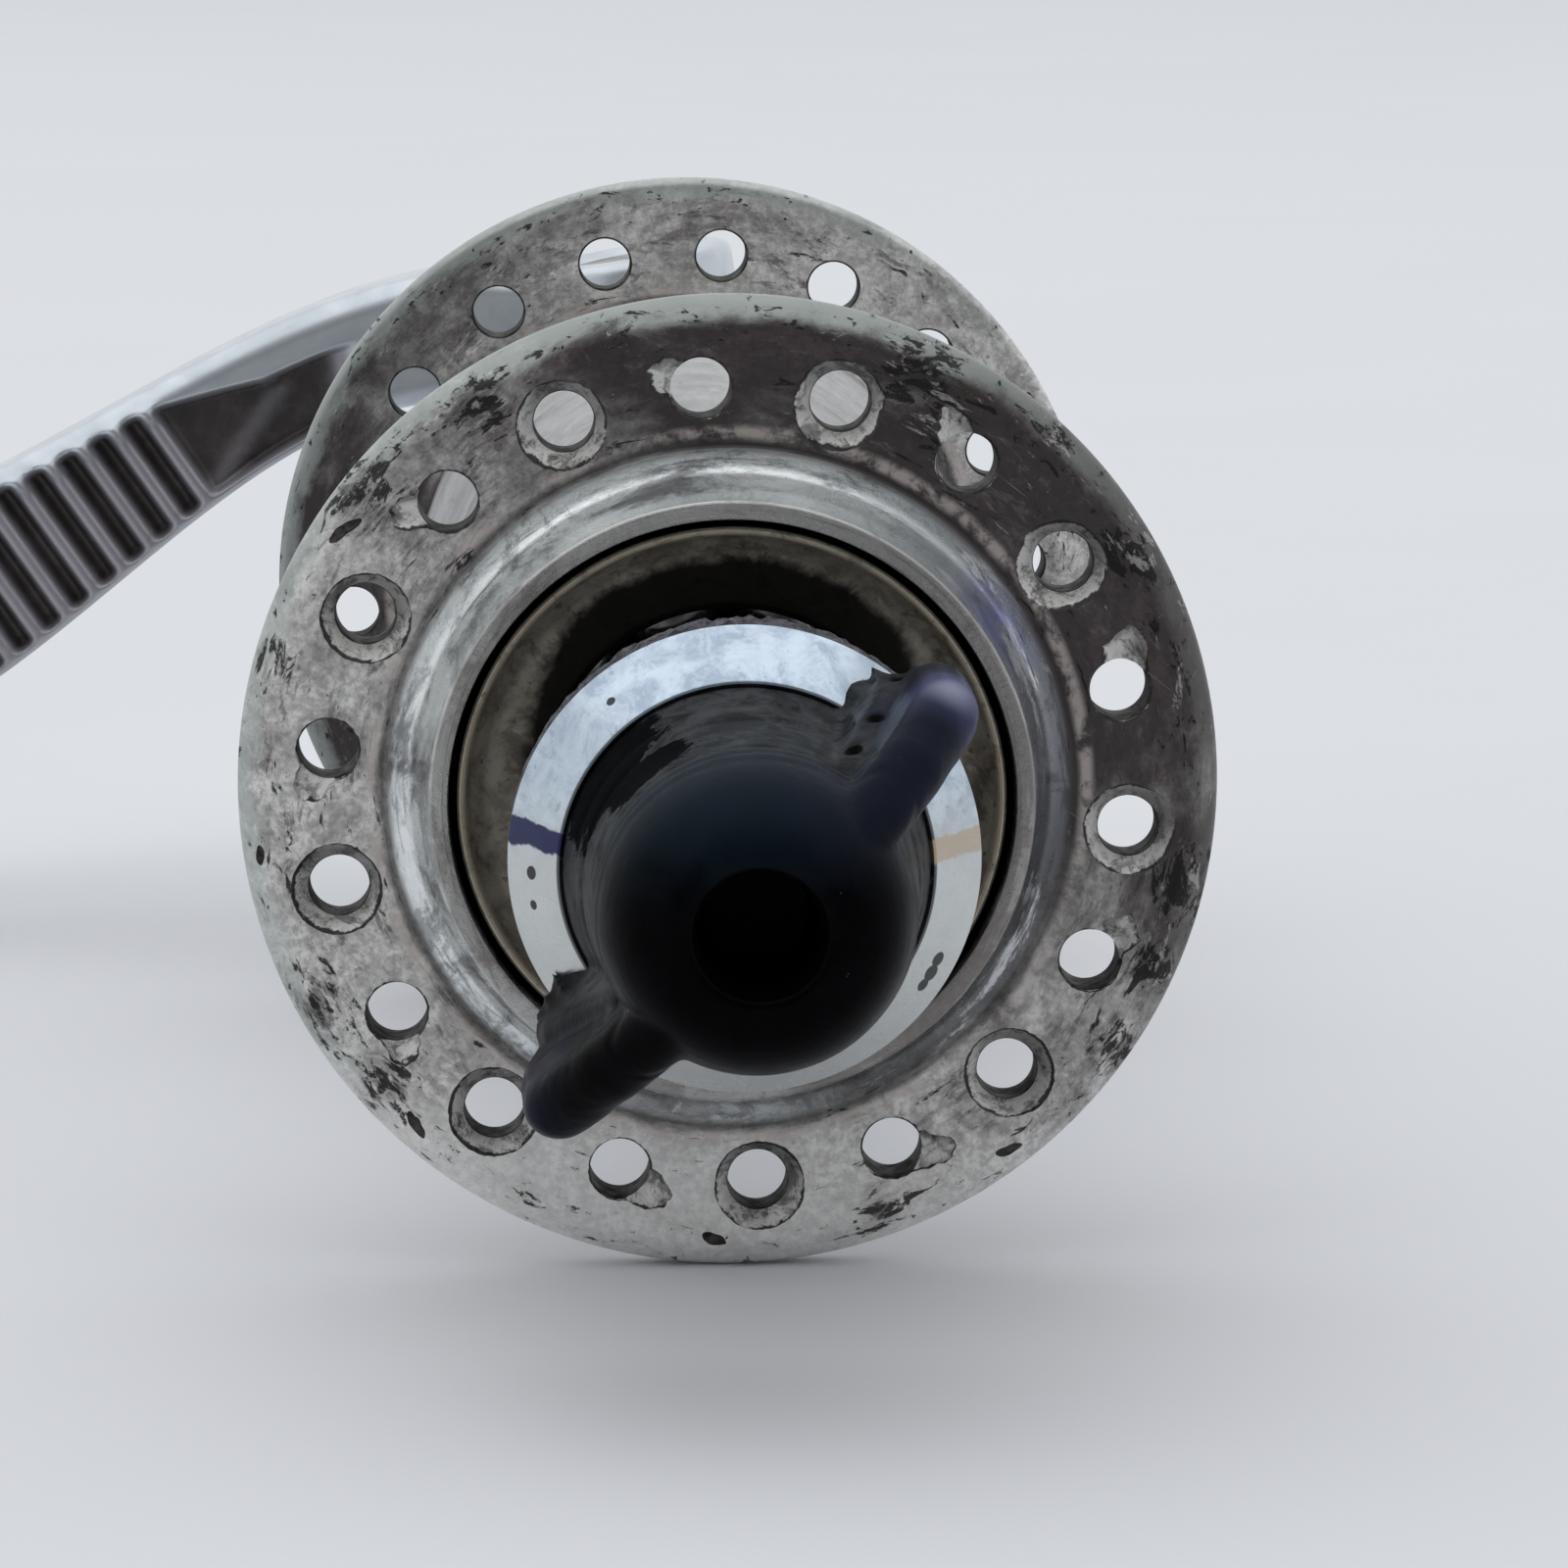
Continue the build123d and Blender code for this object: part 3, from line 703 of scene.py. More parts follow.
def nut_plate():
    """Bright plate on the nut's conical ring, with a painted dark blue reflection, a painted tan one and a
    few pits.
    """
    look = Look("nut_plate", Metallic=1.0)
    film = look.noise(2.0, 9.0, 0.7, 0.8)
    look.ground(film.level(0.4, 0.6), (160, 174, 190), (192, 205, 218))
    look.paint(look.noise(1.4, 9.0, 0.72, 1.0, seed=8.0).level(0.5, 0.54) * 0.35, (206, 216, 226))
    marks = look.noise(1.3, 9.0, 0.74, 1.0, seed=6.0).level(0.6, 0.63)
    look.paint(marks * 0.5, (132, 138, 148))
    # the lower half has lost its blue and is scratched grey
    dull = (look.slope(0, 0, 1000) + film * 3.0).level(6.0, 0.5)
    look.paint(dull * 0.85, (204, 206, 202))
    look.paint(look.radius().level(8.0, 7.92) * 0.85, (24, 24, 28))
    # painted reflections: a dark blue band on the left of the ring and a tan one on the right
    angle = look.maths("ARCTAN2", look.axis_part(2), look.axis_part(0)) + film * 0.12
    for middle, half, tint, share in ((3.06, 0.055, (34, 38, 78), 0.94), (0.15, 0.05, (186, 164, 134), 0.65)):
        look.paint((angle - middle).absolute().level(half + 0.014, half) * share, tint)
    pits = look.pits([((x, -pit_plane, z), size * 2) for x, z, size in pit_places], film * -0.5, 0.12)
    look.paint(pits * 0.9, (22, 22, 24))
    lines = look.scratches(0.5, 3.0).most(look.scratches(-1.1, 5.0))
    height = film * 0.4 + lines * -0.25 + pits * -0.8
    return look.finish(film.spread(0.34, 0.22) + marks * 0.15, height, 0.04, 0.5)


def nut_dark():
    """The nut's neck, nose and wings: smooth black finish, worn to grey on the neck and flanks."""
    look = Look("nut_dark", Metallic=0.0, IOR=1.3, Specular_IOR_Level=0.06)
    radius = look.radius()
    place_out = look.axis_part(1) * (-1 / MM)
    upwards = look.axis_part(2) * (1 / MM)
    film = look.noise(2.2, 7.0, 0.65, 0.7)
    look.ground(film.level(0.35, 0.7), (1, 1, 2), (5, 5, 7))
    # painted sheen: the upper parts are lighter and bluish, greener on the left and violet on the right
    tint = look.mix((look.axis_part(0) * (1 / MM)).level(-3.0, 6.0), (24, 38, 48), (30, 34, 48))
    look.paint((upwards + film * 2.0).level(1.8, 6.6) * 0.8, tint)
    # bare grey metal shows on the neck, and on the wings' flanks behind their fronts
    neck = place_out.level(69.4, 66.6) * radius.level(8.7, 7.6)
    flank = place_out.level(62.0, 60.2) * radius.level(14.5, 8.0)
    bare = neck.most(flank * upwards.level(-5.0, 3.0, 0.3, 0.85))
    worn = look.noise(1.5, 9.0, 0.72, 0.6, seed=4.0).level(0.36, 0.6)
    worn = look.mix(worn, (20, 21, 22), (60, 62, 64))
    streak = look.noise(3.0, 7.0, 0.66, 0.8, seed=12.0).level(0.52, 0.6)
    look.paint(bare, look.mix(streak * 0.7, worn, (24, 25, 28)))
    # finish that is left in ragged black patches on the neck
    patch = look.spot((-6.3, -60.3, 4.4), 5.6).most(look.spot((-4.9, -64.6, 5.6), 4.0))
    patch += (look.noise(1.6, 9.0, 0.78, 1.0, seed=6.0) - 0.5) * 1.5
    patch = patch.level(0.34, 0.4)
    look.paint(patch * 0.96, (3, 4, 5))
    # painted highlights on the wings' tips, faint on the lower wing, with a small bright spot on the upper
    # one
    tip_highlights = look.spot((8.2, -64.4, 8.2), 3.6).most(look.spot((-9.0, -64.0, -8.0), 4.6) * 0.15)
    look.paint(tip_highlights * 0.6, (92, 96, 138))
    look.paint(look.spot((8.1, -65.4, 8.4), 1.5) * 0.6, (168, 170, 190))
    pits = look.pits([(place, 0.7) for place in flank_pits], film * -0.4, 0.1)
    look.paint(pits * 0.95, (2, 2, 3))
    look.paint(look.noise(0.35, 3.0, 0.6, seed=5.0).level(0.73, 0.76) * 0.5, (120, 122, 132))
    inside = radius.level(2.75, 2.45)
    look.paint(inside, (2, 2, 2))
    rough = film.spread(0.36, 0.26) + bare * 0.1 + inside.most(patch) * 0.5
    return look.finish(rough, film + look.noise(0.5, 4.0, 0.6, seed=7.0) * 0.4, 0.05, 0.5)


def knurl_dark():
    """Dirty rough band behind the nut's ring."""
    look = Look("knurl_dark", Metallic=0.7)
    grain = look.noise(0.5, 5.0, 0.7, 0.8)
    look.ground(grain.level(0.35, 0.65), (28, 27, 30), (104, 104, 110))
    return look.finish(grain.spread(0.65, 0.4), grain, 0.15, 0.9)


def lever_plate():
    """Polished lever with grime down in its hollow, and painted shade that darkens the hollow's deeper parts.
    """
    look = Look("lever_plate", Metallic=0.6)
    film = look.noise(4.0, 5.0, 0.6, 0.6)
    look.ground(film.level(0.35, 0.7), (198, 205, 211), (216, 222, 228))
    hollow = Value(look, look.node("Attribute", attribute_name="hollow").outputs["Fac"])
    # grime across the hollow, and painted shade that darkens it the deeper it lies
    look.paint(hollow.level(0.05, 0.4, 0.0, 0.7), (150, 141, 148))
    deep = hollow.level(0.45, 1.0)
    look.paint(deep * 0.92, (84, 78, 76))
    grime = look.noise(1.6, 6.0, 0.65, 0.6, seed=3.0).level(0.3, 0.6)
    look.paint(deep * grime * 0.45, (44, 40, 38))
    look.paint(look.noise(2.6, 6.0, 0.6, 0.8, seed=5.0).level(0.56, 0.72) * 0.18, (120, 112, 114))
    height = film + look.noise(0.5, 4.0, 0.6, seed=7.0) * 0.3
    return look.finish(film.spread(0.36, 0.3) + hollow * 0.2, height, 0.02, 0.4)


looks = {
    "shell": shell_alloy(),
    "torn": torn_alloy(),
    "nick": nick_alloy(),
    "bored": bored_alloy(),
    "cup": steel("cup_steel", (120, 118, 116), (66, 60, 56), 0.3, 0.45, 2.0, 0.2),
    "cap": cap_bronze(),
    "ball": steel("ball_steel", (205, 206, 210), (150, 150, 154), 0.12, 0.2, 2.0),
    "cone": steel("cone_steel", (140, 138, 136), (84, 78, 74), 0.28, 0.42, 2.2, 0.15),
    "washer": steel("washer_steel", (150, 149, 148), (92, 86, 82), 0.35, 0.5, 1.8, 0.2),
    "locknut": steel("locknut_steel", (168, 167, 166), (108, 104, 100), 0.3, 0.45, 2.4, 0.15),
    "axle": steel("axle_steel", (126, 122, 118), (62, 58, 54), 0.35, 0.5, 2.0, 0.25),
    "rod": rod_steel(),
    "spring": steel("spring_steel", (150, 148, 148), (80, 74, 70), 0.25, 0.4, 1.5, 0.25),
    "housing": steel("housing_plate", (208, 210, 216), (186, 188, 194), 0.2, 0.3, 5.0, 0.0, 0.015, 0.12),
    "cap_nut": steel("cap_nut_plate", (202, 204, 210), (176, 178, 184), 0.2, 0.3, 3.5, 0.0, 0.015, 0.15),
    "shaft": steel("shaft_steel", (160, 158, 158), (98, 94, 92), 0.25, 0.4, 2.0, 0.1),
    "plate": nut_plate(),
    "dark": nut_dark(),
    "knurl": knurl_dark(),
    "lever": lever_plate(),
}

# Shell


def flange_cutters(side, chance):
    """Spoke holes of one flange: every second one countersunk, the others notched where spokes bore."""
    top = top_plain_hole if side < 0 else top_plain_hole - 10.0
    lip = 0.1
    holes = []
    marks = []
    for number in range(hole_count):
        angle = math.radians(top + number * 360 / hole_count)
        centre = around(angle, hole_circle)
        sunk = number % 2 == 1
        mouth = sink_radius if sunk else hole_radius + lip
        drop = (mouth - hole_radius) * 0.95
        profile = [
            (0, flange_outer + 1),
            (mouth + 1.0, flange_outer + 1),
            (mouth, flange_outer),
            (hole_radius + 0.05, flange_outer - drop),
            (hole_radius, flange_outer - drop - 0.15),
            (hole_radius, flange_inner + lip),
            (hole_radius + lip, flange_inner),
            (hole_radius + lip, flange_inner - 1),
            (0, flange_inner - 1),
        ]
        holes.append(hole_cutter(profile, centre, side, chance, sunk))
        if not sunk:
            slant = math.radians(notch_turn + chance.uniform(-9, 9))
            way = around(angle - side * slant)
            at = centre + way * (hole_radius - 0.25)
            at.y = side * (flange_outer + 0.1)
            sizes = (chance.uniform(1.4, 1.8), chance.uniform(0.85, 1.1), chance.uniform(0.5, 0.7))
            marks.append(lens(at, way, sizes, looks["torn"], 0.22))
    return joined("holes", holes), joined("marks", marks + nick_cutters(side))


def nick_cutters(side):
    """Nicks near the rim of one flange; the far flange has the same ones further round."""
    marks = []
    for degrees, at_radius, slant, length in nicks:
        angle = math.radians(degrees if side < 0 else degrees + 17)
        level = flange_outer - max(at_radius - flange_radius + rim_bevel, 0)
        slant = math.radians(slant)
        way = sideways(angle) * math.cos(slant) + around(angle) * math.sin(slant)
        at = around(angle) * at_radius + Vector((0, side * level, 0))
        marks.append(lens(at, way.normalized(), (length / 2, 0.3, 0.22), looks["nick"], 0.3))
    return marks


def hole_cutter(profile, centre, side, chance, sunk):
    """A round cutter along the axle; a countersink sits a little off the hole and has an uneven edge."""
    segments = 96
    vertices = []
    seed = Vector((chance.uniform(0, 50), chance.uniform(0, 50), 0))
    shift = Vector((chance.uniform(-0.14, 0.14), 0, chance.uniform(-0.22, 0.02))) if sunk else Vector()
    for angle in circle(segments):
        way = around(angle)
        wobble = 0.05 * noise.noise(seed + way * 1.5) + 0.05 * noise.noise(seed + way * 9.0)
        for row, (radius, place) in enumerate(profile):
            at_mouth = row in (1, 2)
            grown = radius + (wobble if at_mouth else 0)
            moved = centre + (shift if at_mouth else Vector())
            vertices.append(moved + way * grown + Vector((0, side * place, 0)))
    faces = skin(segments, len(profile), ring=False, back=True)
    cutter = piece("hole_cutter", vertices, faces, looks["torn"])
    cutter.data.materials.append(looks["bored"])
    for face in cutter.data.polygons:
        if abs(face.center.y) < (profile[3][1] - 0.02) * MM:
            face.material_index = 1
    return cutter


def lens(centre, way, sizes, look, raggedness):
    """A lens-shaped cutter with an uneven skin, whose longest axis runs along a way across the axle."""
    across = Vector((0, 1, 0)).cross(way)
    rings = 18
    segments = 36
    vertices = []
    for ring in range(rings + 1):
        rise = math.pi * ring / rings
        for angle in circle(segments):
            along = sizes[0] * math.cos(rise)
            aside = sizes[1] * math.sin(rise) * math.cos(angle)
            local = Vector((along, aside, sizes[2] * math.sin(rise) * math.sin(angle)))
            local *= 1 + raggedness * noise.noise(centre * 3.0 + local * 2.4)
            vertices.append(centre + way * local[0] + across * local[1] + Vector((0, local[2], 0)))
    return piece("lens", vertices, skin(rings + 1, segments), look)


def build_shell():
    """Barrel, flanges, and collars with a cove at the foot."""
    half = [
        (barrel_radius, 20.5, 7.0),
        (seat_shell_radius, 28.2, 3.0),
        (seat_shell_radius, flange_inner, 0.9),
        (flange_radius - 0.05, flange_inner, 0.5),
        (flange_radius, flange_outer - rim_bevel, 1.2),
        (flange_radius - rim_bevel, flange_outer, 1.2),
        (cove_radius + 0.1, flange_outer, 0.15),
        (cove_radius - 0.1, flange_outer + 0.16, 0.1),
        (14.35, flange_outer + 0.45, 0.9),
        (13.65, flange_outer + 1.7, 2.0),
        (13.42, collar_end - 0.08, 0.08),
        (13.3, collar_end, 0.05),
        (cap_bore + 0.08, collar_end, 0.05),
        (cap_bore, collar_end - 1.9, 0.1),
        (cup_radius, collar_end - 2.1, 0.1),
        (cup_radius, cup_seat, 0.0),
        (8.0, cup_seat, 0.2),
    ]
    line = rounded([(radius, -place, rounding) for radius, place, rounding in reversed(half)] + half)
    shell = lathe("shell", line, looks["shell"], segments=240)
    chance = random.Random(7)
    for side in (-1, 1):
        holes, marks = flange_cutters(side, chance)
        combine(shell, holes)
        combine(shell, marks)
    dress(shell, "shell", "hub_shell", 32)


# Bearings


def build_dust_cap(side, word):
    """Thin dished cap with a rolled lip."""
    outside = [(12.02, 0.0, 0.1), (12.05, 1.25, 0.1)]
    lip = [(12.18, 2.5, 0.1), (12.04, 2.68, 0.08), (11.86, 2.55, 0.1)]
    dish = [(11.6, 1.85, 0.4), (10.9, 1.1, 0.9), (8.6, 0.7, 0.4), (8.22, 0.35, 0.15)]
    back = [(8.5, 0.0, 0.1), (10.6, 0.25, 0.5), (11.4, 0.65, 0.3), (11.5, 0.0, 0.0)]
    corners = [(radius, cap_base + rise, rounding) for radius, rise, rounding in outside + lip + dish + back]
    cap = lathe(f"cap_dish_{word}", rounded(corners), looks["cap"], side)
    dress(cap, "shell", f"dust_cap_{word}")


def build_balls(side, word):
    """Ten polished balls, each with its two small poles along the axle."""
    rings = 24
    rises = [math.pi * number / rings for number in range(rings + 1)]
    profile = [(ball_radius * math.sin(rise), ball_radius * math.cos(rise)) for rise in rises]
    parts = []
    for angle in circle(ball_count):
        at = Matrix.Translation(around(angle, ball_circle, side * ball_plane))
        parts.append(lathe("ball", profile, looks["ball"], segments=40, at=at))
    balls = joined(f"ball_set_{word}", parts)
    dress(balls, f"balls_{word}", f"bearing_balls_{word}", 60)


def build_cone(side, word):
    """Screwed cone: a race, a round shoulder and two spanner flats."""
    neck = ball_circle - ball_radius - 0.05
    inner = 33.0
    corners = [
        (cone_bore, inner, 0.3),
        (neck, inner, 0.3),
        (neck, inner + 2.5, 1.2),
        (7.5, inner + 3.9, 0.5),
        (7.5, cone_face, 0.3),
        (cone_bore, cone_face, 0.4),
    ]
    cone = lathe(f"race_cone_{word}", rounded(corners), looks["cone"], side, 144)
    for edge in (-1, 1):
        outline = rectangle(-9, 9, edge * 6.5, edge * 9)
        combine(cone, prism("flat", outline, cone_face - 3.0, cone_face + 1, looks["cone"], side))
    dress(cone, "axle", f"cone_{word}", 30)


def build_washer(side, word):
    """Keyed washer between cone and locknut."""
    outer = 7.4
    corners = [
        (thread_bore, cone_face, 0.1),
        (outer, cone_face, 0.25),
        (outer, washer_face, 0.25),
        (thread_bore, washer_face, 0.1),
    ]
    washer = lathe(f"key_washer_{word}", rounded(corners), looks["washer"], side, 144)
    tab = rectangle(-1.2, 1.2, 3.6, 5.0)
    tab = prism("tab", tab, cone_face + 0.02, washer_face - 0.02, looks["washer"], side)
    combine(washer, tab, "UNION")
    dress(washer, "axle", f"lock_washer_{word}", 30)


def build_locknut(side, word):
    """Hexagon nut with chamfered corners and a softened bore."""
    inner = locknut_face - 4.0
    corner = 8.85
    corners = [
        (thread_bore, inner, 0.35),
        (corner - 0.5, inner, 0.1),
        (corner, inner + 0.35, 0.3),
        (corner, locknut_face - 0.45, 0.3),
        (corner - 0.65, locknut_face, 0.15),
        (thread_bore, locknut_face, 0.35),
    ]
    nut = lathe(f"hex_nut_{word}", rounded(corners), looks["locknut"], side, 144)
    hexagon = polygon(15.0 / math.sqrt(3), 6)
    hexagon = prism("hexagon", hexagon, inner - 1, locknut_face + 1, looks["locknut"], side)
    combine(nut, hexagon, "INTERSECT")
    sharp = math.radians(35)
    modify(nut, "BEVEL", width=0.12 * MM, segments=2, limit_method="ANGLE", angle_limit=sharp)
    dress(nut, "axle", f"locknut_{word}", 30)


# Axle


def build_axle():
    """The hollow axle: a real helical thread towards both ends, chamfered tips and two keyways."""
    middle = 26.0
    bore = 2.75
    pitch = 0.977
    thread_depth = 0.5
    chamfer = 0.6
    segments = 72
    places = []
    sections = ((-axle_end, -middle, True), (-middle, middle, False), (middle, axle_end, True))
    for start, end, threaded in sections:
        count = round((end - start) / (pitch / 8 if threaded else 2.0))
        for number in range(count + 1):
            places.append((start + (end - start) * number / count, threaded))
    vertices = []
    for place, threaded in places:
        for number, angle in enumerate(circle(segments)):
            radius = axle_radius - 0.25
            if threaded:
                phase = (place / pitch - number / segments) % 1.0
                radius = axle_radius - thread_depth * (1 - abs(2 * phase - 1)) ** 0.8
            chamfered = axle_radius - chamfer + axle_end - abs(place)
            vertices.append(around(angle, min(radius, chamfered), place))
    for place in (axle_end, -axle_end):
        vertices += [around(angle, bore, place) for angle in circle(segments)]
    bar = piece("hollow_axle", vertices, skin(len(places) + 2, segments, back=True), looks["axle"])
    for side in (-1, 1):
        outline = rectangle(-1.3, 1.3, axle_radius - 1.0, axle_radius + 2)
        combine(bar, prism("keyway", outline, axle_end - 13.0, axle_end + 1, looks["axle"], side))
    dress(bar, "axle", "axle", 40)


# Springs


def build_coil(name, side, body, node):
    """Conical coil of round wire with closed ends, small at the axle's end."""
    turns = 3.5
    steps = int(turns * 46)
    sides = 12
    wire = 0.4
    small = 3.5
    large = 6.35
    near = axle_end + wire + 0.02
    far = recess_floor - wire - 0.02
    vertices = []
    for number in range(steps + 1):
        share = number / steps
        angle = 2 * math.pi * turns * share
        place = near + (far - near) * soft_step(share, 0.1, 0.9)
        centre = around(angle, small + (large - small) * share, side * place)
        for turn in circle(sides):
            corner = around(angle) * wire * math.cos(turn) + Vector((0, wire * math.sin(turn), 0))
            vertices.append(centre + corner)
    wire_piece = piece(name, vertices, skin(steps + 1, sides) + lids(steps + 1, sides), looks["spring"])
    dress(wire_piece, body, node, 50)
    if side < 0:
        # the nut's coil gets a mesh of its own
        side * (far + wire) * MM
        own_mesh(wire_piece)


# Adjusting nut


def build_nut_ring():
    """Bright conical ring of the nut, and the rough band behind its edge."""
    corners = [
        (7.3, ring_back, 0.1),
        (ring_radius - 0.2, ring_back, 0.1),
        (ring_radius - 0.05, ring_back + 0.35, 0.05),
        (ring_radius - 0.05, ring_back + 0.9, 0.05),
        (ring_radius - 0.05, ring_back + 1.45, 0.05),
        (ring_radius - 0.1, ring_back + 1.95, 0.05),
        (ring_radius, ring_back + 2.18, 0.04),
        (7.86, neck_start, 0.04),
        (7.55, neck_start - 0.12, 0.1),
        (6.8, neck_start - 0.3, 0.0),
        (6.8, pit_plane, 0.0),
        (7.3, pit_plane, 0.0),
    ]
    ring = lathe("nut_ring", rounded(corners, 4), looks["plate"], -1, 240)
    ring.data.materials.append(looks["knurl"])
    for face in ring.data.polygons:
        if face.center.y > -(ring_back + 2) * MM:
            face.material_index = 1
    for vertex in ring.data.vertices:
        point = vertex.co / MM
        out = Vector((point.x, 0, point.z))
        if out.length > ring_radius - 0.3 and ring_back + 0.1 < -point.y < ring_back + 1.9:
            burr = 0.14 * noise.noise(point * 1.8) + 0.1 * noise.noise(point * 5.0)
            top = max(0.0, out.normalized().z) ** 3
            vertex.co += out.normalized() * (burr * (0.6 + top) + 0.1 * top) * MM
    dress(ring, "nut", None, 25)


def wing_outline(reach_out):
    """One wing seen from its side, as (radius, place): its ridge runs on over the nose."""
    corners = [
        (wing_root, wing_foot, 0.0),
        (neck_radius, wing_foot, 0.0),
        (9.4, 56.4, 0.6),
        (11.6, 57.3, 2.2),
        (reach_out, 59.6, 2.2),
        (reach_out, 65.2, 3.4),
        (9.4, 69.2, 3.4),
        (5.0, 73.0, 2.4),
        (wing_root, 73.4, 0.0),
    ]
    return rounded(corners, 10)


def ledge_outline(reach_out):
    """The lower ledge that a wing's flank stands on."""
    corners = [
        (wing_root, wing_foot, 0.0),
        (neck_radius, wing_foot, 0.0),
        (reach_out, 57.0, 0.8),
        (reach_out - 0.6, 60.4, 1.6),
        (8.4, 65.0, 2.0),
        (6.6, 68.0, 1.6),
        (wing_root, 68.4, 0.0),
    ]
    return rounded(corners, 6)


def wing_body(turn, outline, shift, half):
    """A wing whose front and tip are fully rounded: a stack of outlines that shrink to both sides."""
    count = len(outline)
    layers = 15
    vertices = []
    for layer in range(layers):
        lean = math.radians(80) * (2 * layer / (layers - 1) - 1)
        inset = half * (1 - math.cos(lean))
        aside = sideways(turn) * (shift + half * math.sin(lean))
        for number, here in enumerate(outline):
            run = outline[(number + 1) % count] - outline[number - 1]
            inwards = Vector((-run.y, run.x)).normalized()
            radius, place = here + inwards * inset
            vertices.append(around(turn) * radius + aside + Vector((0, -place, 0)))
    return piece("wing", vertices, lids(layers, count) + skin(layers, count))


def flank_flash(turn, reach_out, side_of_wing, shift):
    """Ragged casting flash along a wing's flank, where it stands on the ring."""
    aside = sideways(turn) * shift
    across = sideways(turn) * side_of_wing
    start = neck_radius - 0.1
    end = reach_out - 2.2
    steps = 60
    profile = []
    for number in range(steps + 1):
        radius = start + (end - start) * number / steps
        tooth = noise.noise(Vector((radius * 1.7, turn, 0)))
        tooth += 0.6 * noise.noise(Vector((radius * 4.5, turn, 3.0)))
        fade = min(1.0, (steps - number) / 12)
        profile.append((radius, 1.7 + (0.95 + 0.75 * tooth) * fade))
    vertices = []
    for place, shrink in ((56.6, 0.0), (60.6, 1.3)):
        line = [(radius, max(far - shrink, 0.4)) for radius, far in profile]
        line += [(radius, 0.2) for radius, far in reversed(profile)]
        for radius, far in line:
            vertices.append(around(turn) * radius + across * far + aside + Vector((0, -place, 0)))
    count = len(line)
    return piece("flash", vertices, lids(2, count) + skin(2, count))


def nut_body_line():
    """Neck and domed nose as (radius, place)."""
    points = [(nut_bore, wing_foot - 0.1), (neck_radius, wing_foot - 0.1)]
    for step in range(9):
        share = step / 8
        waist = neck_radius + (nose_radius - neck_radius) * share - 0.25 * math.sin(math.pi * share)
        points.append((waist, neck_start + (nose_start - neck_start) * share))
    for step in range(1, 13):
        rise = math.pi / 2 * step / 12
        radius = mouth_radius + (nose_radius - mouth_radius) * math.cos(rise) ** 0.9
        points.append((radius, nose_start + (nose_end - nose_start) * math.sin(rise)))
    points.append((nut_bore + 0.09, nose_end - 0.35))
    points.append((nut_bore, nose_end - 0.9))
    return points


def build_nut_body():
    """Neck, nose and wings, melted into one cast form."""
    parts = [lathe("nut_body", nut_body_line(), None, -1, 160)]
    # each wing as (turn, reach, side of its ledge, distance that it stands beside the axle)
    for turn, reach_out, flank, shift in (
        (nut_turn, wing_reach - 0.75, 1, -0.5),
        (nut_turn + math.pi, wing_reach + 0.3, -1, 0.3),
    ):
        parts.append(wing_body(turn, wing_outline(reach_out), shift, wing_half))
        parts.append(wing_body(turn, ledge_outline(reach_out - 1.6), shift + flank * 0.9, wing_half - 0.25))
        parts.append(flank_flash(turn, reach_out, flank, shift))
    knob = joined("nut_knob", parts)
    modify(knob, "REMESH", mode="VOXEL", voxel_size=0.16 * MM)
    modify(knob, "SMOOTH", factor=0.5, iterations=9)
    past = nose_end + 1
    profile = [(0, 50), (nut_bore, 50), (nut_bore, nose_end - 0.8), (nut_bore + 0.42, past), (0, past)]
    combine(knob, lathe("bore", profile, None, -1, 64))
    ripple(knob)
    knob.data.materials.clear()
    knob.data.materials.append(looks["dark"])
    dress(knob, "nut", "adjusting_nut", 50)


def ripple(knob):
    """Soft turned rings on the neck and shoulder, and casting lumps and pits on the wings."""
    count = len(knob.data.vertices)
    flat = np.zeros(count * 3)
    knob.data.vertices.foreach_get("co", flat)
    points = flat.reshape(-1, 3) / MM
    normals = np.array([vertex.normal[:] for vertex in knob.data.vertices])
    radius = np.hypot(points[:, 0], points[:, 2])
    place = -points[:, 1]
    cut = np.zeros(count)
    rings = ((60.6, 0.07, 0.4), (62.6, 0.1, 0.35), (67.5, 0.07, 0.22), (68.7, 0.07, 0.25), (70.0, 0.05, 0.3))
    for centre, deep, wide in rings:
        cut -= deep * np.exp(-(((place - centre) / wide) ** 2)) * (radius < 8.0) * (radius > 3.5)
    lumps = [noise.noise(Vector(point) * 0.5) + 0.2 * noise.noise(Vector(point) * 1.9) for point in points]
    cut += 0.07 * np.array(lumps) * np.clip((radius - neck_radius + 0.1) / 1.5, 0, 1)
    for pit in flank_pits:
        gap = np.linalg.norm(points - np.array(pit), axis=1)
        cut -= 0.4 * np.exp(-((gap / 0.32) ** 2))
    points = points + normals * cut[:, None]
    knob.data.vertices.foreach_set("co", (points * MM).ravel())
    knob.data.update()


# Cam housing and cap nut


def build_housing():
    """Barrel round the cam shaft, with a cross bore between two flat spots."""
    corners = [
        (7.3, clamp_face, 0.2),
        (9.6, clamp_face, 0.3),
        (9.6, clamp_face + 2.3, 0.5),
        (8.85, clamp_face + 3.6, 0.6),
        (8.75, housing_end - 2.4, 1.4),
        (6.6, housing_end, 1.4),
        (0, housing_end),
        (0, housing_end - 2.6),
        (5.7, housing_end - 2.6, 0.5),
        (5.7, recess_floor, 0.1),
        (7.3, recess_floor, 0.1),
    ]
    housing = lathe("cam_barrel", rounded(corners, 7), looks["housing"])
    for radius, start, end in ((4.35, -12, 12), (6.1, -8.4, -14), (6.1, 8.4, 14)):
        profile = [(0, start), (radius, start), (radius, end), (0, end)]
        combine(housing, lathe("cross_bore", profile, looks["housing"], segments=96, at=shaft_frame))
    dress(housing, "cam_housing", "cam_housing", 30)


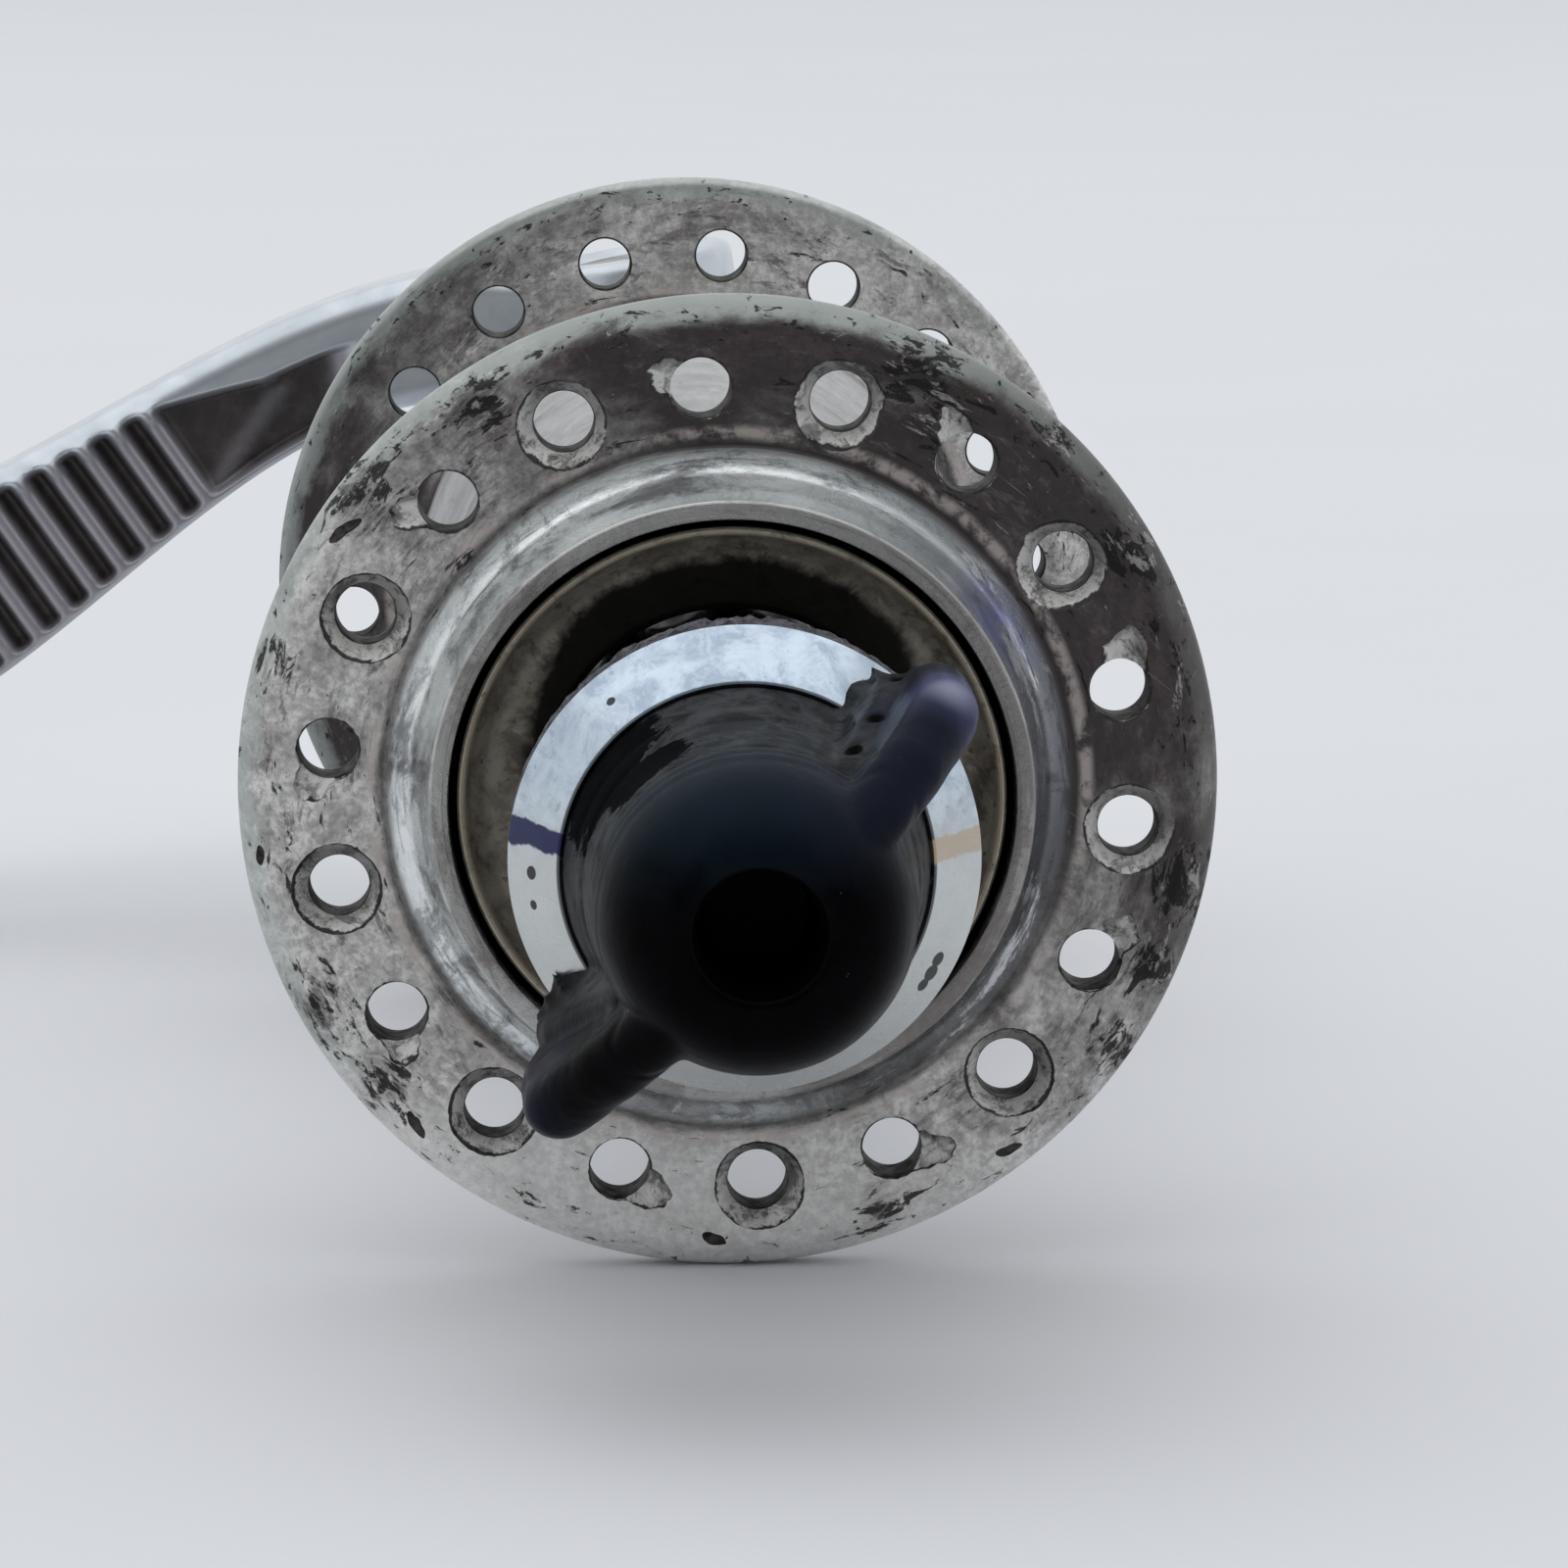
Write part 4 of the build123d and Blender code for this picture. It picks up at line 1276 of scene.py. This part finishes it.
def build_cap_nut():
    """Domed nut that keeps the cam shaft in."""
    corners = [(0, -8.5), (5.3, -8.5, 0.15), (5.3, -10.6, 0.9), (3.9, -12.3, 1.0), (0, -12.5)]
    dome = rounded(corners, 8, closed=False)
    nut = lathe("cap_dome", dome, looks["cap_nut"], segments=120, at=shaft_frame)
    dress(nut, "lever", "cam_cap_nut")


# Lever


def soft_step(value, start, end):
    """Goes smoothly from 0 to 1 while the value goes from start to end."""
    share = min(max((value - start) / (end - start), 0.0), 1.0)
    return share * share * (3 - 2 * share)


def lever_edges(along):
    """Lowest and highest level of the lever at a distance from the shaft."""
    top = boss_top + (arm_top - boss_top) * soft_step(along, 5.0, top_bend_start)
    top += (tip_level + tip_radius - arm_top) * soft_step(along, top_bend_start, bend_end)
    bottom = arm_bottom
    bottom += (tip_level - tip_radius - arm_bottom) * soft_step(along, bottom_bend_start, bend_end)
    if along > tip_centre:
        half = math.sqrt(max(tip_radius**2 - (along - tip_centre) ** 2, 0.0))
        top = tip_level + half
        bottom = tip_level - half
    return bottom, top


def lever_faces(along):
    """Places of the inboard and outboard faces, from the pin: each bends away along an arc."""
    run = max(along - sweep_start, 0.0)
    whole = lever_length - sweep_start
    faces = []
    outboard_sweep = 2 * arm_half + inboard_sweep - paddle_thickness
    for start, drop in ((-arm_half, inboard_sweep), (arm_half, outboard_sweep)):
        bend = (whole**2 + drop**2) / (2 * drop)
        faces.append(start - bend + math.sqrt(bend**2 - run**2))
    return faces


def edge_rounding(level, bottom, top, edge):
    """How far a face draws back near the lever's upper and lower edges."""
    margin = min(level - bottom, top - level, edge)
    return edge - math.sqrt(max(edge**2 - (edge - margin) ** 2, 0.0))


def hollow_at(along, level):
    """How deep the inboard face is hollowed, and how dark it is painted there: grime, and painted shade that
    grows with the depth.
    """
    band = min(rim_width + max(first_rib - along, 0.0) * band_growth, widest_band)

    def past_band(gap):
        return soft_step(gap, band - 0.25, band + 0.35)

    bottom, top = lever_edges(along)
    slope = (lever_edges(along + 0.2)[1] - lever_edges(along - 0.2)[1]) / 0.4 if along < tip_centre else 0.0
    lean = 1 / math.sqrt(1 + slope**2)
    under_top = (top - level) * lean
    over_bottom = (level - bottom) * lean
    inside = past_band(under_top) * soft_step(over_bottom, low_rim_width - 0.3, low_rim_width + 0.4)
    if along > tip_centre:
        inside = past_band(tip_radius - math.hypot(along - tip_centre, level - tip_level))
    begun = soft_step(along, hollow_start, hollow_start + 3.0)
    inside *= begun
    depth_here = hollow_depth * inside
    # a crease splits the plain part of the hollow
    run = crease_foot - crease_top
    offset = Vector((along, level)) - crease_top
    share = offset.dot(run) / run.length_squared
    gap = (offset - run * min(max(share, 0.0), 1.0)).length
    depth_here -= 0.5 * inside * math.exp(-((gap / 0.75) ** 2))
    # ribs, which lean towards the hub at their feet, each with a bead at its top
    shifted = along + rib_slant * (top - 1.45 - level)
    last = first_rib + rib_pitch * (rib_count - 1)
    if first_rib - rib_pitch / 2 < shifted < last + rib_pitch / 2:
        nearest = first_rib + rib_pitch * min(max(round((shifted - first_rib) / rib_pitch), 0), rib_count - 1)
        away = abs(shifted - nearest) * math.cos(math.atan(rib_slant))
        rib = 1 - soft_step(away, 0.18, rib_width / 2 + 0.1)
        depth_here *= 1 - rib * 0.8
        bead_gap = math.hypot(away, under_top - 1.4)
        depth_here -= 0.5 * math.exp(-((bead_gap / 0.5) ** 2))
    # grime over the hollow, with painted shade that grows with its depth
    darkening = past_band(under_top) * begun * (0.3 + 0.7 * min(max(depth_here / hollow_depth, 0.0), 1.0))
    return depth_here, darkening


def lever_point(along, place, level):
    """A point of the lever, from its distance along it, its place from the pin and its level."""
    return Vector((0, pin_place + place, 0)) + along_lever * along + up_shaft * level


def build_lever():
    """Curved arm and ribbed paddle, lofted section by section, with its boss."""
    stations = [3.0 + 0.5 * number for number in range(24)]
    step = 0.16
    while stations[-1] + step < tip_centre:
        stations.append(stations[-1] + step)
    tip_run = tip_radius - 0.001
    stations += [tip_centre + tip_run * math.sin(math.pi / 2 * number / 28) for number in range(29)]
    across = 84
    shares = [(1 - math.cos(math.pi * number / across)) / 2 for number in range(across + 1)]
    vertices = []
    hollows = []
    for along in stations:
        bottom, top = lever_edges(along)
        inboard, outboard = lever_faces(along)
        middle = (inboard + outboard) / 2
        edge = min(arm_edge, (top - bottom) / 2, (outboard - inboard) / 2)
        rounds = [(share, bottom + (top - bottom) * share) for share in shares]
        for share, level in rounds:
            depth_here, darkening = hollow_at(along, level)
            place = inboard + edge_rounding(level, bottom, top, edge) + depth_here
            vertices.append(lever_point(along, place, level))
            hollows.append(darkening)
        for share, level in rounds[-2:0:-1]:
            crown = 0.5 * (2 * share - 1) ** 2
            place = outboard - edge_rounding(level, bottom, top, edge) - crown
            vertices.append(lever_point(along, max(place, middle), level))
            hollows.append(0.0)
    layers = len(stations)
    faces = skin(layers, 2 * across) + lids(layers, 2 * across)
    dress(piece("lever_arm", vertices, faces, looks["lever"], hollows), "lever", "lever", 60)
    corners = [
        (3.22, 8.5, 0.1),
        (boss_radius, 8.5, 0.35),
        (boss_radius, boss_top, 0.9),
        (4.2, boss_top + 0.05, 0.3),
        (3.22, boss_top - 0.3, 0.2),
    ]
    boss = lathe("lever_boss", rounded(corners, 6), looks["lever"], segments=120, at=shaft_frame)
    dress(boss, "lever")


def dress_frame():
    """Materials of the CAD nodes that stay as they are."""
    kept = {"bearing_cup_left": "cup", "bearing_cup_right": "cup", "skewer_rod": "rod", "cam_shaft": "shaft"}
    for node, look in kept.items():
        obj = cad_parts[node]
        obj.data.materials.clear()
        obj.data.materials.append(looks[look])


# Stage


def build_floor():
    """A wide pale floor that the shell stands on."""
    sides = 64
    look = Look("floor", Roughness=0.9)
    look.ground(look.noise(60.0, 3.0), (226, 227, 231), (230, 231, 235))
    corners = [(x, y, floor_level) for x, y in polygon(4000, sides)]
    piece("floor", corners, [tuple(range(sides))], look.finish(0.9))


def build_surroundings():
    """Pale surroundings that are dark only round the camera, and one soft lamp."""
    world = bpy.data.worlds.new("studio")
    bpy.context.scene.world = world
    world.use_nodes = True
    nodes = Nodes(world.node_tree)
    seen = nodes.node("TexCoord").outputs["Generated"]
    facing = nodes.measure("DOT_PRODUCT", seen, (0.03, -0.98, 0.15))
    camera_ray = nodes.value("LightPath", {}, "Is Camera Ray")
    inputs = {0: camera_ray, 2: facing.level(0.62, 0.95, 0.84, 0.05), 3: 0.84}
    background = nodes.tree.nodes["Background"]
    nodes.feed(background.inputs["Strength"], nodes.value("Mix", inputs, data_type="FLOAT"))
    nodes.feed(background.inputs["Color"], (0.96, 0.98, 1.0, 1.0))

    lamp = bpy.data.lights.new("key", "AREA")
    lamp.shape = "DISK"
    lamp.size = 2.0
    lamp.energy = 4.0
    holder = placed("key", lamp)
    holder.location = (-0.15, 0.15, 1.1)
    holder.rotation_euler = (-holder.location).to_track_quat("-Z", "Y").to_euler()


def build_camera():
    """The photograph's angle: a long lens from in front, a little above and to the left."""
    camera = bpy.data.cameras.new("camera")
    camera.lens = 171.4
    camera.sensor_width = 36.0
    camera.clip_end = 100.0
    holder = placed("camera", camera)
    holder.location = Vector((-10.8, -365.8, 51.8)) * MM
    holder.rotation_euler = (math.radians(90 - 8.9), 0, math.radians(-2.3))
    bpy.context.scene.camera = holder


build_camera()
build_floor()
build_surroundings()
build_shell()
for side, word in ((1, "left"), (-1, "right")):
    build_dust_cap(side, word)
    build_balls(side, word)
    build_cone(side, word)
    build_washer(side, word)
    build_locknut(side, word)
build_axle()
build_coil("coil_left", 1, "cam_housing", "spring_left")
build_coil("coil_right", -1, "nut_slider", "spring_right")
build_nut_ring()
build_nut_body()
build_housing()
build_cap_nut()
build_lever()
dress_frame()
bpy.context.scene.view_settings.view_transform = "Standard"
